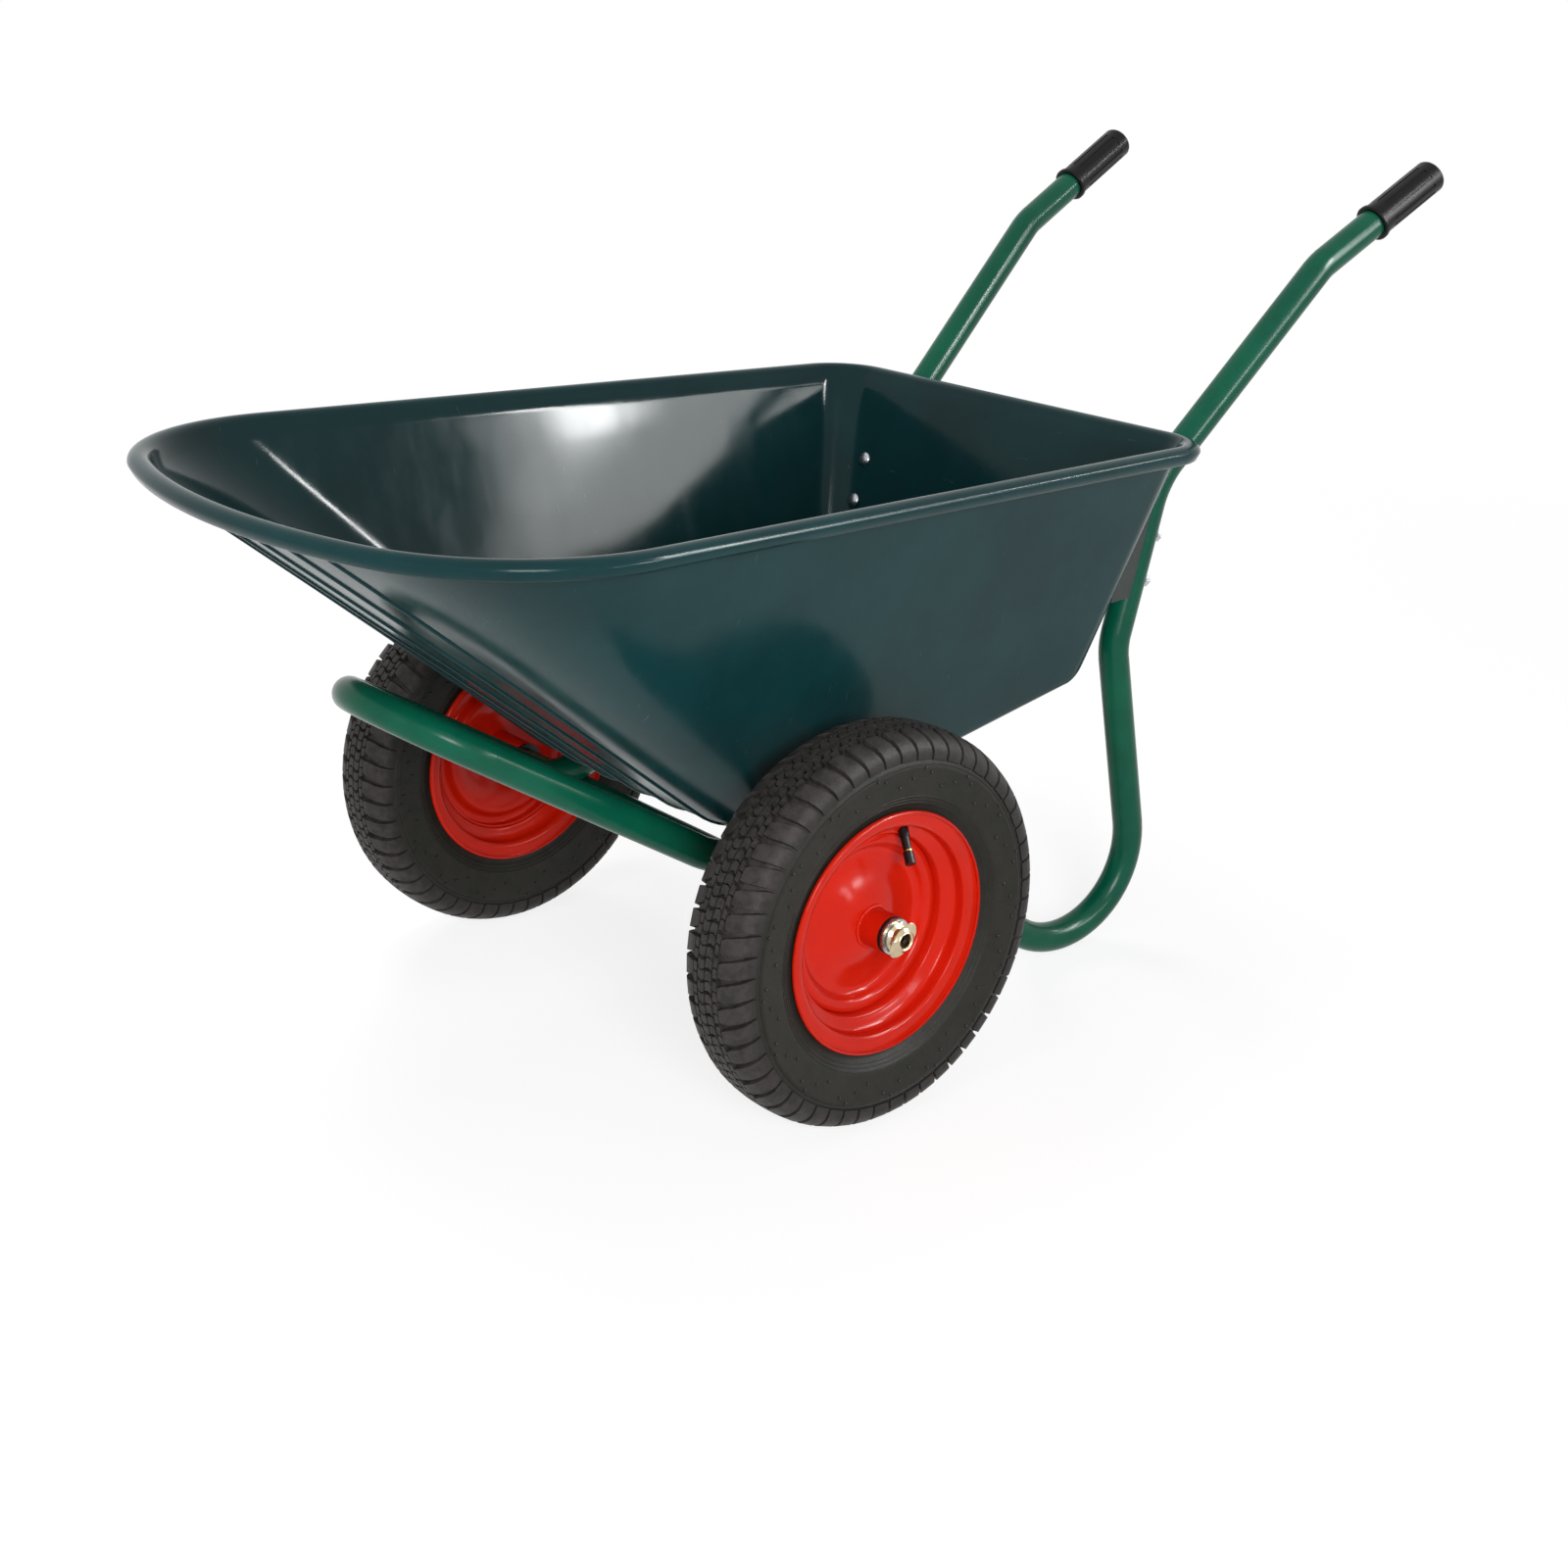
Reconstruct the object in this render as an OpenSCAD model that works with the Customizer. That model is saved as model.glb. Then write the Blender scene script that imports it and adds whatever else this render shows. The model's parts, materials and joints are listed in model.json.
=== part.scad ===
// Two-wheeled garden wheelbarrow: a moulded tub on a bent-tube frame with pneumatic wheels.
// Millimetres. +X points forwards to the nose, +Y to the left, +Z up from the floor.

/* [Tub] */
// Height of the rim's crest above the floor, over the axle
rim_height = 588; // [575:1:610]
// Rise of the rim per millimetre forwards
rim_rise = 0.065; // [0:0.005:0.09]
// Distance from the axle forwards to the tub wall's front edge, at the rim
rim_front = 461; // [440:1:490]
// Distance from the axle back to the tub wall's rear edge, at the rim
rim_rear = 484; // [478:1:500]
// Half width of the tub wall at the rear of the rim
rim_rear_half = 262; // [250:1:280]
// Half width that the tub wall would reach at the front of the rim
rim_front_half = 322; // [300:1:340]
// Radius of the rim's front corners
rim_front_radius = 182; // [150:1:200]
// Radius of the rim's rear corners
rim_rear_radius = 50; // [44:1:58]
// Radius of the bowed front edge of the rim
rim_bow = 620; // [550:10:900]
// Distance from the axle forwards to the front of the tub floor
floor_front = 30; // [24:1:36]
// Distance from the axle back to the rear of the tub floor
floor_rear = 402; // [398:1:406]
// Half width of the tub floor at the rear
floor_rear_half = 202; // [200:1:206]
// Half width of the tub floor at the front
floor_front_half = 168; // [166:1:172]
// Radius of the floor's front corners
floor_front_radius = 60; // [54:1:70]
// Radius of the floor's rear corners
floor_rear_radius = 34; // [31:1:38]
// Wall thickness of the moulding
tub_wall = 3.6; // [3:0.1:4.2]
// Length of the sweep from the floor into the front wall
front_sweep = 50; // [40:1:52]
// Length of the rounding from the floor into the rear wall
rear_sweep = 28; // [20:1:30]
// Length of the rounding from the floor into the side walls
side_sweep = 13; // [10:1:16]
// Outward reach of the rolled rim
bead_width = 18; // [15:1:22]
// Depth of the rolled rim
bead_depth = 17; // [14:1:26]
// Outward flare of the wall just below the rim
flare = 9; // [5:0.5:12]
// Height of the flare
flare_depth = 14; // [10:1:20]
// Spacing of the stiffening ribs under the tub
rib_pitch = 50.5; // [44:0.5:51]
// Width of a stiffening rib
rib_width = 3; // [2:0.1:5]
// Height of a stiffening rib
rib_height = 2.2; // [1:0.1:2.4]

/* [Frame] */
// Outer diameter of the frame tube
tube_d = 32; // [30:0.5:34]
// Wall of the frame tube
tube_wall = 1.6; // [1.2:0.1:2.5]
// Half width between the handles at the grip ends
handle_half = 224; // [200:1:240]
// Height of the grip ends
handle_height = 775; // [740:1:820]
// Distance from the axle back to the grip ends
handle_reach = 900; // [880:1:940]
// Length of a grip
grip_length = 104; // [90:1:130]
// Half width between the legs at the tub's rear wall
leg_half = 190; // [184:1:196]
// Radius of the loop at the foot of each leg
foot_radius = 95; // [85:1:105]
// Downward slope of the frame under the floor, per millimetre forwards
frame_slope = 0.185; // [0.17:0.005:0.2]
// Half width of the frame where it bends up into the nose
nose_half = 138; // [134:1:142]
// Radius of the nose loop
nose_radius = 93.5; // [85:0.5:100]
// Distance from the axle forwards to the bend at the foot of the nose
nose_start = 42; // [38:1:48]
// Slope of the nose, per millimetre forwards
nose_rise = 0.67; // [0.64:0.01:0.69]
// Rearmost height of the pinched bend below the rear wall
knee_height = 330; // [320:1:340]
// Length of the splice between the legs and the front frame
splice_length = 70; // [55:1:90]
// Height of the splice bolts
splice_height = 144; // [135:1:155]
// Height of the upper bolts through the rear wall
upper_bolt_height = 446; // [440:1:452]
// Height of the lower bolts through the rear wall
lower_bolt_height = 400; // [396:1:406]
// Distance of the floor bolts behind the axle
floor_bolt_back = 78; // [60:1:100]
// Diameter of the bolts
bolt_d = 8; // [6:0.5:9]

/* [Wheels] */
// Outer diameter of the tyre
tyre_d = 382; // [372:1:392]
// Width of the tyre
tyre_width = 82; // [78:1:88]
// Distance from the centre line to the middle of a wheel
wheel_y = 290; // [284:1:296]
// Outer diameter of the rim's flanges
flange_d = 233; // [229:1:236]
// Width across the rim's flanges
flange_width = 69; // [66:1:72]
// Thickness of the pressed wheel steel
sheet = 1.8; // [1.5:0.1:2.2]
// Outer diameter of the cross axle
axle_d = 25; // [22:0.5:27]
// Diameter of the bearing spindle
spindle_d = 15; // [14:0.5:16]
// Outer diameter of the hub tube
hub_d = 36; // [35:0.5:40]
// Reach of the hub tube outwards from the wheel's middle
hub_out = 34; // [30:1:36]
// Reach of the hub tube inwards from the wheel's middle
hub_in = 40; // [37:1:42]
// Outer diameter of the ball bearings
bearing_d = 32; // [31:0.5:32.5]
// Width of a ball bearing
bearing_width = 9; // [8:0.5:10]
// Number of lateral grooves on each shoulder of the tread
shoulder_grooves = 40; // [24:4:48]

/* [Hidden] */

// Colours
tub_green = [0.09, 0.20, 0.20];
frame_green = [0.06, 0.36, 0.26];
wheel_red = [0.85, 0.12, 0.08];
rubber_black = [0.10, 0.10, 0.10];
zinc = [0.75, 0.76, 0.78];
yellow_zinc = [0.78, 0.66, 0.38];
brass = [0.80, 0.62, 0.25];

// Clearances
seat = 0.3;         // between separate pieces that rest on each other
hole_play = 0.25;   // radial play of a bolt in its hole
race_play = 0.02;   // radial play of a bearing ring on its seat
ball_play = 0.04;   // radial play of a ball in its groove
lap = 1;            // a straight run of tube laps over the bend that follows it
ease = 0.1;         // a bend is this much thinner all round than the straights it joins

axle_z = tyre_d / 2;
tube_r = tube_d / 2;
overhang = 5;                       // grip beyond the tube's end
// The origin lies midway between the grip ends and the front of the rim
axle_x = (handle_reach + overhang - rim_front - bead_width) / 2;

// --- vectors -------------------------------------------------------------

function unit(v) = v / norm(v);
function turn(a, b) = acos(max(-1, min(1, a * b)));
function mix(a, b, t) = a + (b - a) * t;
function flip(p) = [p.x, -p.y, p.z];
function bezier(a, b, c, t) = mix(mix(a, b, t), mix(b, c, t), t);
function side_of(d) = unit(cross(d, [0, 0, 1]));
function clamp01(v) = max(0, min(1, v));

module frame_at(origin, x_axis, z_axis) {
  y_axis = cross(z_axis, x_axis);
  multmatrix([
    [x_axis.x, y_axis.x, z_axis.x, origin.x],
    [x_axis.y, y_axis.y, z_axis.y, origin.y],
    [x_axis.z, y_axis.z, z_axis.z, origin.z],
    [0, 0, 0, 1]])
    children();
}

module along(origin, direction) {
  frame_at(origin, side_of(direction), direction) children();
}

// Everything is laid out about the axle and then moved to the part's own origin
module placed() {
  translate([axle_x, 0, 0]) children();
}

// A module laid out on the left gives its right-hand twin
module other_side() {
  mirror([0, 1, 0]) children();
}

// --- bent tubes ----------------------------------------------------------

module ring(outer, inner) {
  difference() {
    circle(r = outer, $fn = 64);
    circle(r = inner, $fn = 64);
  }
}

// Straight runs between the points, joined by bends of the given radii
module bent_tube(points, radii, outer, inner) {
  n = len(points);
  dirs = [for (i = [0:n - 2]) unit(points[i + 1] - points[i])];
  cuts = [for (i = [0:n - 1])
    i == 0 || i == n - 1 ? 0 : radii[i] * tan(turn(dirs[i - 1], dirs[i]) / 2)];
  for (i = [0:n - 2]) {
    before = i > 0 ? cuts[i] - lap : 0;
    after = i < n - 2 ? cuts[i + 1] - lap : 0;
    along(points[i] + dirs[i] * before, dirs[i])
      linear_extrude(height = norm(points[i + 1] - points[i]) - before - after)
        ring(outer, inner);
  }
  for (i = [1:n - 2]) {
    inward = unit(dirs[i] - dirs[i - 1] * (dirs[i - 1] * dirs[i]));
    start = points[i] - dirs[i - 1] * cuts[i];
    frame_at(start + inward * radii[i], -inward, cross(-inward, dirs[i - 1]))
      rotate_extrude(angle = turn(dirs[i - 1], dirs[i]), $fn = 96)
        translate([radii[i], 0])
          ring(outer - ease, inner + ease);
  }
}

// Height of the frame tube's centre where it runs under the floor, touching the axle
frame_over_axle = axle_z + (axle_d / 2 + tube_r + seat) * norm([1, frame_slope]);
function frame_z(x) = frame_over_axle - frame_slope * x;

// Corners of the handle and leg on the left, from the grip to the foot
grip_end = [-handle_reach, handle_half, handle_height];
grip_root = [168 - handle_reach, handle_half - 12, handle_height - 78];
shoulder = [-504, leg_half, handle_height - 275];
knee = [-447, leg_half, knee_height];
shin_rake = 0.155;
shin_slope = 1 / shin_rake;

// Corners of the front frame on the left
under_floor = [-172, nose_half + 25, frame_z(-172)];
nose_root = [nose_start, nose_half, frame_z(nose_start)];
nose_taper = 0.2;
nose_tip = nose_root + [1, -nose_taper, nose_rise] * (nose_root.y / nose_taper);

// The loop at the foot stands on the floor and touches the shin.
// The front limb leaves it as a tangent towards the bend under the floor.
foot_z = foot_radius + tube_r;
foot_x = knee.x - shin_rake * (knee.z - foot_z) + foot_radius * norm([1, shin_rake]);
foot_gap = norm([under_floor.x - foot_x, under_floor.z - foot_z]);
limb_angle = atan2(under_floor.z - foot_z, under_floor.x - foot_x) + asin(foot_radius / foot_gap);
limb_slope = tan(limb_angle);
loop_x = (under_floor.z - knee.z + shin_slope * knee.x - limb_slope * under_floor.x)
  / (shin_slope - limb_slope);
loop_corner = [loop_x, leg_half + 10, knee.z + shin_slope * (loop_x - knee.x)];
limb = unit(under_floor - loop_corner);
function on_limb(z) = loop_corner + limb * ((z - loop_corner.z) / limb.z);
splice_at = on_limb(splice_height);
leg_end = splice_at + limb * (splice_length / 2);

// Directions of the bolts
bolt_r = bolt_d / 2;
back = unit([knee.z - shoulder.z, 0, shoulder.x - knee.x]);   // out of the rear wall
function on_post(z) = mix(knee, shoulder, (z - knee.z) / (shoulder.z - knee.z));
down = unit([frame_slope * -1, 0, -1]);                       // out of the floor
floor_bolt_at = mix(under_floor, nose_root,
  (-floor_bolt_back - under_floor.x) / (nose_root.x - under_floor.x));
limb_side = unit([limb.z, 0, -limb.x]);                       // down and forwards from the limb

module bolt_hole(at, direction, reach) {
  along(at - direction * reach, direction)
    cylinder(r = bolt_r + hole_play, h = 2 * reach, $fn = 32);
}

module left_handle_tube_shape() {
  difference() {
    bent_tube(
      [grip_end, grip_root, shoulder, knee, loop_corner, leg_end],
      [0, 60, 100, 62, foot_radius],
      tube_r, tube_r - tube_wall);
    for (z = [upper_bolt_height, lower_bolt_height])
      bolt_hole(on_post(z), back, tube_d);
    bolt_hole(splice_at, limb_side, tube_d);
  }
}

module left_handle_tube() {
  color(frame_green) placed() left_handle_tube_shape();
}

module right_handle_tube() {
  color(frame_green) placed() other_side() left_handle_tube_shape();
}

// Both ends of the front frame are swaged down to slide into the legs
swage_r = tube_r - tube_wall - seat;
swage_step = 3;

module swaged_end() {
  difference() {
    union() {
      along(leg_end + limb * (swage_step + seat), -limb)
        linear_extrude(height = swage_step)
          ring(tube_r - ease, swage_r - tube_wall);
      along(leg_end + limb * (1 + seat), -limb)
        linear_extrude(height = splice_length + 6)
          ring(swage_r, swage_r - tube_wall);
    }
    bolt_hole(splice_at, limb_side, tube_d);
  }
}

module front_frame_tube() {
  start = leg_end + limb * (1 + seat);
  color(frame_green) placed() {
    difference() {
      bent_tube(
        [start, under_floor, nose_root, nose_tip, flip(nose_root), flip(under_floor), flip(start)],
        [0, 70, 80, nose_radius, 80, 70],
        tube_r, tube_r - tube_wall);
      bolt_hole(floor_bolt_at, down, tube_d);
      bolt_hole(flip(floor_bolt_at), down, tube_d);
    }
    swaged_end();
    other_side() swaged_end();
  }
}

// --- grips and rear spacers ----------------------------------------------

handle_dir = unit(grip_root - grip_end);
grip_wall = 2.2;
grip_flare = 2;

module left_grip_shape() {
  bore = tube_r + seat;
  sleeve = bore + grip_wall;
  along(grip_end - handle_dir * overhang, handle_dir)
    difference() {
      rotate_extrude($fn = 96)
        polygon([
          [6, 0], [sleeve - 3, 0], [sleeve - 1, 0.8], [sleeve, 3],
          [sleeve, grip_length - 7], [sleeve + grip_flare, grip_length - 5],
          [sleeve + grip_flare, grip_length - 1.5], [sleeve + grip_flare - 1.5, grip_length],
          [bore, grip_length], [bore, overhang], [6, overhang]]);
      for (i = [0:11])
        rotate([0, 0, i * 30])
          translate([sleeve - 0.8, -1.6, 16])
            cube([4, 3.2, grip_length - 34]);
    }
}

module left_grip() {
  color(rubber_black) placed() left_grip_shape();
}

module right_grip() {
  color(rubber_black) placed() other_side() left_grip_shape();
}

// The rear wall of the tub leans back from the floor to the rim
function floor_z(x) = frame_z(x) + tube_r * norm([1, frame_slope]) + seat;
function crest_z(x) = rim_height + rim_rise * x;
function wall_top(x) = crest_z(x) - bead_width / 2 - flare_depth;
rear_foot = [-floor_rear, floor_z(-floor_rear)];
rear_head = [flare - rim_rear, wall_top(-rim_rear)];
function rear_wall_x(z) =
  mix(rear_foot.x, rear_head.x, (z - rear_foot.y) / (rear_head.y - rear_foot.y));

spacer_width = 26;
spacer_top = 478;
spacer_bottom = 384;

// A wedge between the rear wall and the leg, hollowed to seat the tube
module left_rear_spacer_shape() {
  difference() {
    translate([0, leg_half + spacer_width / 2, 0])
      rotate([90, 0, 0])
        linear_extrude(height = spacer_width)
          polygon([
            [rear_wall_x(spacer_bottom) - seat, spacer_bottom],
            [rear_wall_x(spacer_top) - seat, spacer_top],
            [on_post(spacer_top).x, spacer_top],
            [on_post(spacer_bottom).x, spacer_bottom]]);
    along(mix(knee, shoulder, -0.5), unit(shoulder - knee))
      cylinder(r = tube_r + seat, h = 400, $fn = 96);
    for (z = [upper_bolt_height, lower_bolt_height])
      bolt_hole(on_post(z), back, 60);
  }
}

module left_rear_spacer() {
  color(rubber_black) placed() left_rear_spacer_shape();
}

module right_rear_spacer() {
  color(rubber_black) placed() other_side() left_rear_spacer_shape();
}

// --- tub -----------------------------------------------------------------

bow_steps = 5;
front_steps = 10;
side_steps = 6;
rear_steps = 6;
back_steps = 4;

// Left half of a tapered outline with round corners and a bowed front, as [x, y, nx, ny],
// from the front middle to the rear middle, shrunk by inset
function half_outline(front, rear, front_half, rear_half, front_r, rear_r, bow, inset) =
  let (
    slant = atan2(front_half - rear_half, front + rear),
    n = [-sin(slant), cos(slant)],
    d = [cos(slant), sin(slant)],
    big = bow - inset,
    mid = [front - bow, 0],
    fr = front_r - inset,
    rr = rear_r - inset,
    p = [-rear, rear_half] - n * (inset + fr) - mid,
    t = -(p * d) + sqrt(pow(p * d, 2) - p * p + pow(big - fr, 2)),
    fc = p + d * t + mid,
    a0 = atan2(fc.y, fc.x - mid.x),
    rc = [-rear + inset + rr,
      rear_half - (inset + rr - (inset + rr) * sin(slant)) / cos(slant)],
    side_a = fc + n * fr,
    side_b = rc + n * rr)
  concat(
    [for (i = [0:bow_steps - 1]) let (a = a0 * i / bow_steps)
      [mid.x + big * cos(a), big * sin(a), cos(a), sin(a)]],
    [for (i = [0:front_steps - 1]) let (a = mix(a0, 90 + slant, i / front_steps))
      [fc.x + fr * cos(a), fc.y + fr * sin(a), cos(a), sin(a)]],
    [for (i = [0:side_steps - 1]) let (q = mix(side_a, side_b, i / side_steps))
      [q.x, q.y, n.x, n.y]],
    [for (i = [0:rear_steps - 1]) let (a = mix(90 + slant, 180, i / rear_steps))
      [rc.x + rr * cos(a), rc.y + rr * sin(a), cos(a), sin(a)]],
    [for (i = [0:back_steps]) [rc.x - rr, rc.y * (1 - i / back_steps), -1, 0]]);

function whole(half) = concat(half,
  [for (i = [len(half) - 2:-1:1]) [half[i][0], -half[i][1], half[i][2], -half[i][3]]]);

function floor_outline(inset) = whole(half_outline(
  floor_front, floor_rear, floor_front_half, floor_rear_half,
  floor_front_radius, floor_rear_radius, 3000, inset));
function rim_outline(inset) = whole(half_outline(
  rim_front, rim_rear, rim_front_half, rim_rear_half,
  rim_front_radius, rim_rear_radius, rim_bow, inset));

// The sweep out of the floor is longest at the front and shortest along the sides
function sweep(p) =
  side_sweep
  + (front_sweep - side_sweep) * pow(clamp01(p[2]), 1.5)
  + (rear_sweep - side_sweep) * pow(clamp01(-p[2]), 1.5);

// One skin of the tub: rings of points from the floor up to the flare under the rim.
// The flare leads to the ring given as its top.
function skin(inset, wall_steps, top) =
  let (
    low = floor_outline(inset),
    high = rim_outline(inset),
    lift = inset * norm([1, frame_slope]),
    n = len(low),
    foot = [for (p = low) [p[0], p[1], floor_z(p[0]) + lift]],
    head = [for (p = high) [p[0] - p[2] * flare, p[1] - p[3] * flare, wall_top(p[0])]],
    start = [for (i = [0:n - 1]) let (p = low[i], s = sweep(p) - inset / 2,
      x = p[0] - p[2] * s) [x, p[1] - p[3] * s, floor_z(x) + lift]],
    stop = [for (i = [0:n - 1]) foot[i] + unit(head[i] - foot[i]) * (sweep(low[i]) - inset / 2)])
  concat(
    [for (s = [0:5]) [for (i = [0:n - 1]) bezier(start[i], foot[i], stop[i], s / 5)]],
    [for (s = [1:wall_steps]) [for (i = [0:n - 1]) mix(stop[i], head[i], s / wall_steps)]],
    [for (s = [1:2]) [for (i = [0:n - 1])
      bezier(head[i], head[i] + unit(head[i] - stop[i]) * flare, top[i], s / 3)]]);

// The rolled rim: an arch over the wall's edge with a skirt hanging outside it
arch_w = (bead_width + tub_wall) / 2;
arch_h = bead_width / 2;
skirt_lean = 3;
function rim_ring(out, drop) =
  [for (p = rim_outline(-out)) [p[0], p[1], crest_z(p[0]) - drop]];
function arch(a, w, h) =
  rim_ring(bead_width - arch_w + w * cos(a), arch_h - h * sin(a));
rim_rings = concat(
  [for (a = [160:-20:0]) arch(a, arch_w, arch_h)],
  [rim_ring(bead_width - skirt_lean, bead_depth),
    rim_ring(bead_width - skirt_lean - tub_wall, bead_depth)],
  [for (a = [0:20:160]) arch(a, arch_w - tub_wall, arch_h - tub_wall)]);

tub_levels = 3;
inner_skin = skin(tub_wall, tub_levels, rim_rings[0]);
outer_skin = skin(0, tub_levels, rim_rings[len(rim_rings) - 1]);
tub_rings = concat(
  inner_skin,
  rim_rings,
  [for (r = [len(outer_skin) - 1:-1:0]) outer_skin[r]]);

module tub_shell() {
  rings = tub_rings;
  n = len(rings[0]);
  m = len(rings);
  polyhedron(
    points = [for (r = rings) each r],
    faces = concat(
      [[for (i = [n - 1:-1:0]) i]],
      [[for (i = [0:n - 1]) (m - 1) * n + i]],
      [for (r = [0:m - 2]) for (i = [0:n - 1]) let (j = (i + 1) % n)
        each [[r * n + i, r * n + j, (r + 1) * n + j],
          [r * n + i, (r + 1) * n + j, (r + 1) * n + i]]]),
    convexity = 10);
}

// Where a ring of points crosses a lengthwise line at y, at the front of the tub
function crossing(ring, y) =
  let (hits = [for (i = [0:bow_steps + front_steps]) let (a = ring[i], b = ring[i + 1])
    if (a.y <= y && b.y > y) mix(a, b, (y - a.y) / (b.y - a.y))])
  [hits[0].x, hits[0].z];

rib_root = 1.2;
rib_start = 383;

// A lengthwise rib: it runs along the floor, round the sweep and up the front wall
module long_rib(y) {
  outer = skin(0, 8, rim_rings[0]);
  below_flare = len(outer) - 3;
  path = concat(
    [[-rib_start, floor_z(-rib_start)]],
    [for (r = [0:below_flare]) crossing(outer[r], abs(y))]);
  n = len(path);
  normal = [for (i = [0:n - 1])
    let (d = unit(path[min(i + 1, n - 1)] - path[max(i - 1, 0)])) [d.y, -d.x]];
  translate([0, y + rib_width / 2, 0])
    rotate([90, 0, 0])
      linear_extrude(height = rib_width)
        polygon(concat(
          [for (i = [0:n - 1]) path[i] + normal[i] * rib_height],
          [for (i = [n - 1:-1:0]) path[i] - normal[i] * rib_root]));
}

// A rib across the tub floor
module cross_rib(x, length) {
  translate([x, 0, floor_z(x)])
    rotate([0, atan(frame_slope), 0])
      translate([-rib_width / 2, -length / 2, -rib_height])
        cube([rib_width, length, rib_height + rib_root]);
}

// A slanting rib in the floor between two plan points
module slant_rib(a, b) {
  d = b - a;
  translate([a.x, a.y, floor_z(a.x)])
    rotate([0, atan(frame_slope), 0])
      rotate([0, 0, atan2(d.y, d.x * norm([1, frame_slope]))])
        translate([0, -rib_width / 2, -rib_height])
          cube([norm([d.x * norm([1, frame_slope]), d.y]), rib_width, rib_height + rib_root]);
}

module tray() {
  color(tub_green) placed() {
    difference() {
      union() {
        tub_shell();
        for (s = [-1, 1], i = [0:2])
          long_rib(s * (i + 0.5) * rib_pitch);
        cross_rib(-rib_start, 5 * rib_pitch + rib_width);
        cross_rib(-rib_start + 26, 5 * rib_pitch + rib_width);
        for (s = [-1, 1])
          slant_rib([-132, s * rib_pitch / 2], [-44, -s * rib_pitch / 2]);
      }
      for (s = [0, 1])
        mirror([0, s, 0]) {
          for (z = [upper_bolt_height, lower_bolt_height])
            bolt_hole(on_post(z), back, 70);
          bolt_hole(floor_bolt_at, down, 30);
        }
    }
  }
}

// --- bolts ---------------------------------------------------------------

head_r = bolt_d * 1.05;
head_h = bolt_d * 0.52;

// A dome-headed bolt whose head rests at the origin, with its shank along +Z
module dome_bolt(length) {
  cylinder(r = bolt_r, h = length, $fn = 32);
  rotate_extrude($fn = 48)
    polygon(concat([[0, 0]],
      [for (a = [0:10:90]) [head_r * cos(a), -head_h * sin(a)]]));
}

module hex_bolt(length) {
  cylinder(r = bolt_r, h = length, $fn = 32);
  translate([0, 0, -bolt_d * 0.65])
    cylinder(r = bolt_d * 0.93, h = bolt_d * 0.65, $fn = 6);
}

module hex_nut(across_r, height) {
  difference() {
    cylinder(r = across_r, h = height, $fn = 6);
    translate([0, 0, -1])
      cylinder(r = bolt_r + race_play, h = height + 2, $fn = 32);
  }
}

nut_r = bolt_d * 0.93;
nut_h = bolt_d * 0.85;
washer_t = 1.6;
washer_r = bolt_d * 1.05;
thread_tail = 2;

// Distance from the post's centre forwards to the inside face of the rear wall
wall_lean = unit([rear_head.x - rear_foot.x, 0, rear_head.y - rear_foot.y]);
wall_normal = unit([wall_lean.z, 0, -wall_lean.x]);
function wall_reach(z) =
  let (p = on_post(z), foot = [rear_foot.x, 0, rear_foot.y])
  ((foot - p) * wall_normal + tub_wall) / (-back * wall_normal);
// The wall and the post aren't parallel, so the head stands off by its own tilt.
// Where the head reaches the rounding of the tub's corner, it stands off by the rise too.
function head_stand(z) =
  let (
    t = (z - rear_foot.y) / (rear_head.y - rear_foot.y),
    corner = mix(floor_rear_radius, rim_rear_radius, t),
    onto = leg_half + head_r + corner - mix(floor_rear_half, rim_rear_half, t))
  head_r * tan(turn(-back, wall_normal)) + pow(max(0, onto), 2) / (2 * (corner - tub_wall)) + seat;

module at_rear_bolts() {
  for (s = [0, 1])
    mirror([0, s, 0])
      for (z = [upper_bolt_height, lower_bolt_height])
        along(on_post(z), back)
          children();
}

module rear_wall_bolts() {
  color(zinc) placed()
    for (s = [0, 1])
      mirror([0, s, 0])
        for (z = [upper_bolt_height, lower_bolt_height]) {
          start = wall_reach(z) + head_stand(z);
          along(on_post(z) - back * start, back)
            dome_bolt(start + tube_r + washer_t + nut_h + thread_tail);
        }
}

module rear_wall_washers() {
  color(zinc) placed() at_rear_bolts()
    translate([0, 0, tube_r + seat])
      difference() {
        cylinder(r = washer_r, h = washer_t, $fn = 48);
        translate([0, 0, -1])
          cylinder(r = bolt_r + hole_play, h = washer_t + 2, $fn = 32);
      }
}

module rear_wall_nuts() {
  color(zinc) placed() at_rear_bolts()
    translate([0, 0, tube_r + washer_t + 2 * seat])
      hex_nut(nut_r, nut_h);
}

floor_head = (tube_r * norm([1, frame_slope]) + seat) / norm([1, frame_slope]) + tub_wall + seat;

module floor_bolts() {
  color(zinc) placed()
    for (s = [0, 1])
      mirror([0, s, 0])
        along(floor_bolt_at - down * floor_head, down)
          dome_bolt(floor_head + tube_r + nut_h + thread_tail);
}

module floor_nuts() {
  color(zinc) placed()
    for (s = [0, 1])
      mirror([0, s, 0])
        along(floor_bolt_at + down * (tube_r + seat), down)
          hex_nut(nut_r, nut_h);
}

module splice_bolts() {
  color(zinc) placed()
    for (s = [0, 1])
      mirror([0, s, 0])
        along(splice_at - limb_side * (tube_r + seat), limb_side)
          hex_bolt(tube_d + nut_h + thread_tail);
}

module splice_nuts() {
  color(zinc) placed()
    for (s = [0, 1])
      mirror([0, s, 0])
        along(splice_at + limb_side * (tube_r + seat), limb_side)
          hex_nut(nut_r, nut_h);
}

// --- axle ----------------------------------------------------------------

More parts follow.
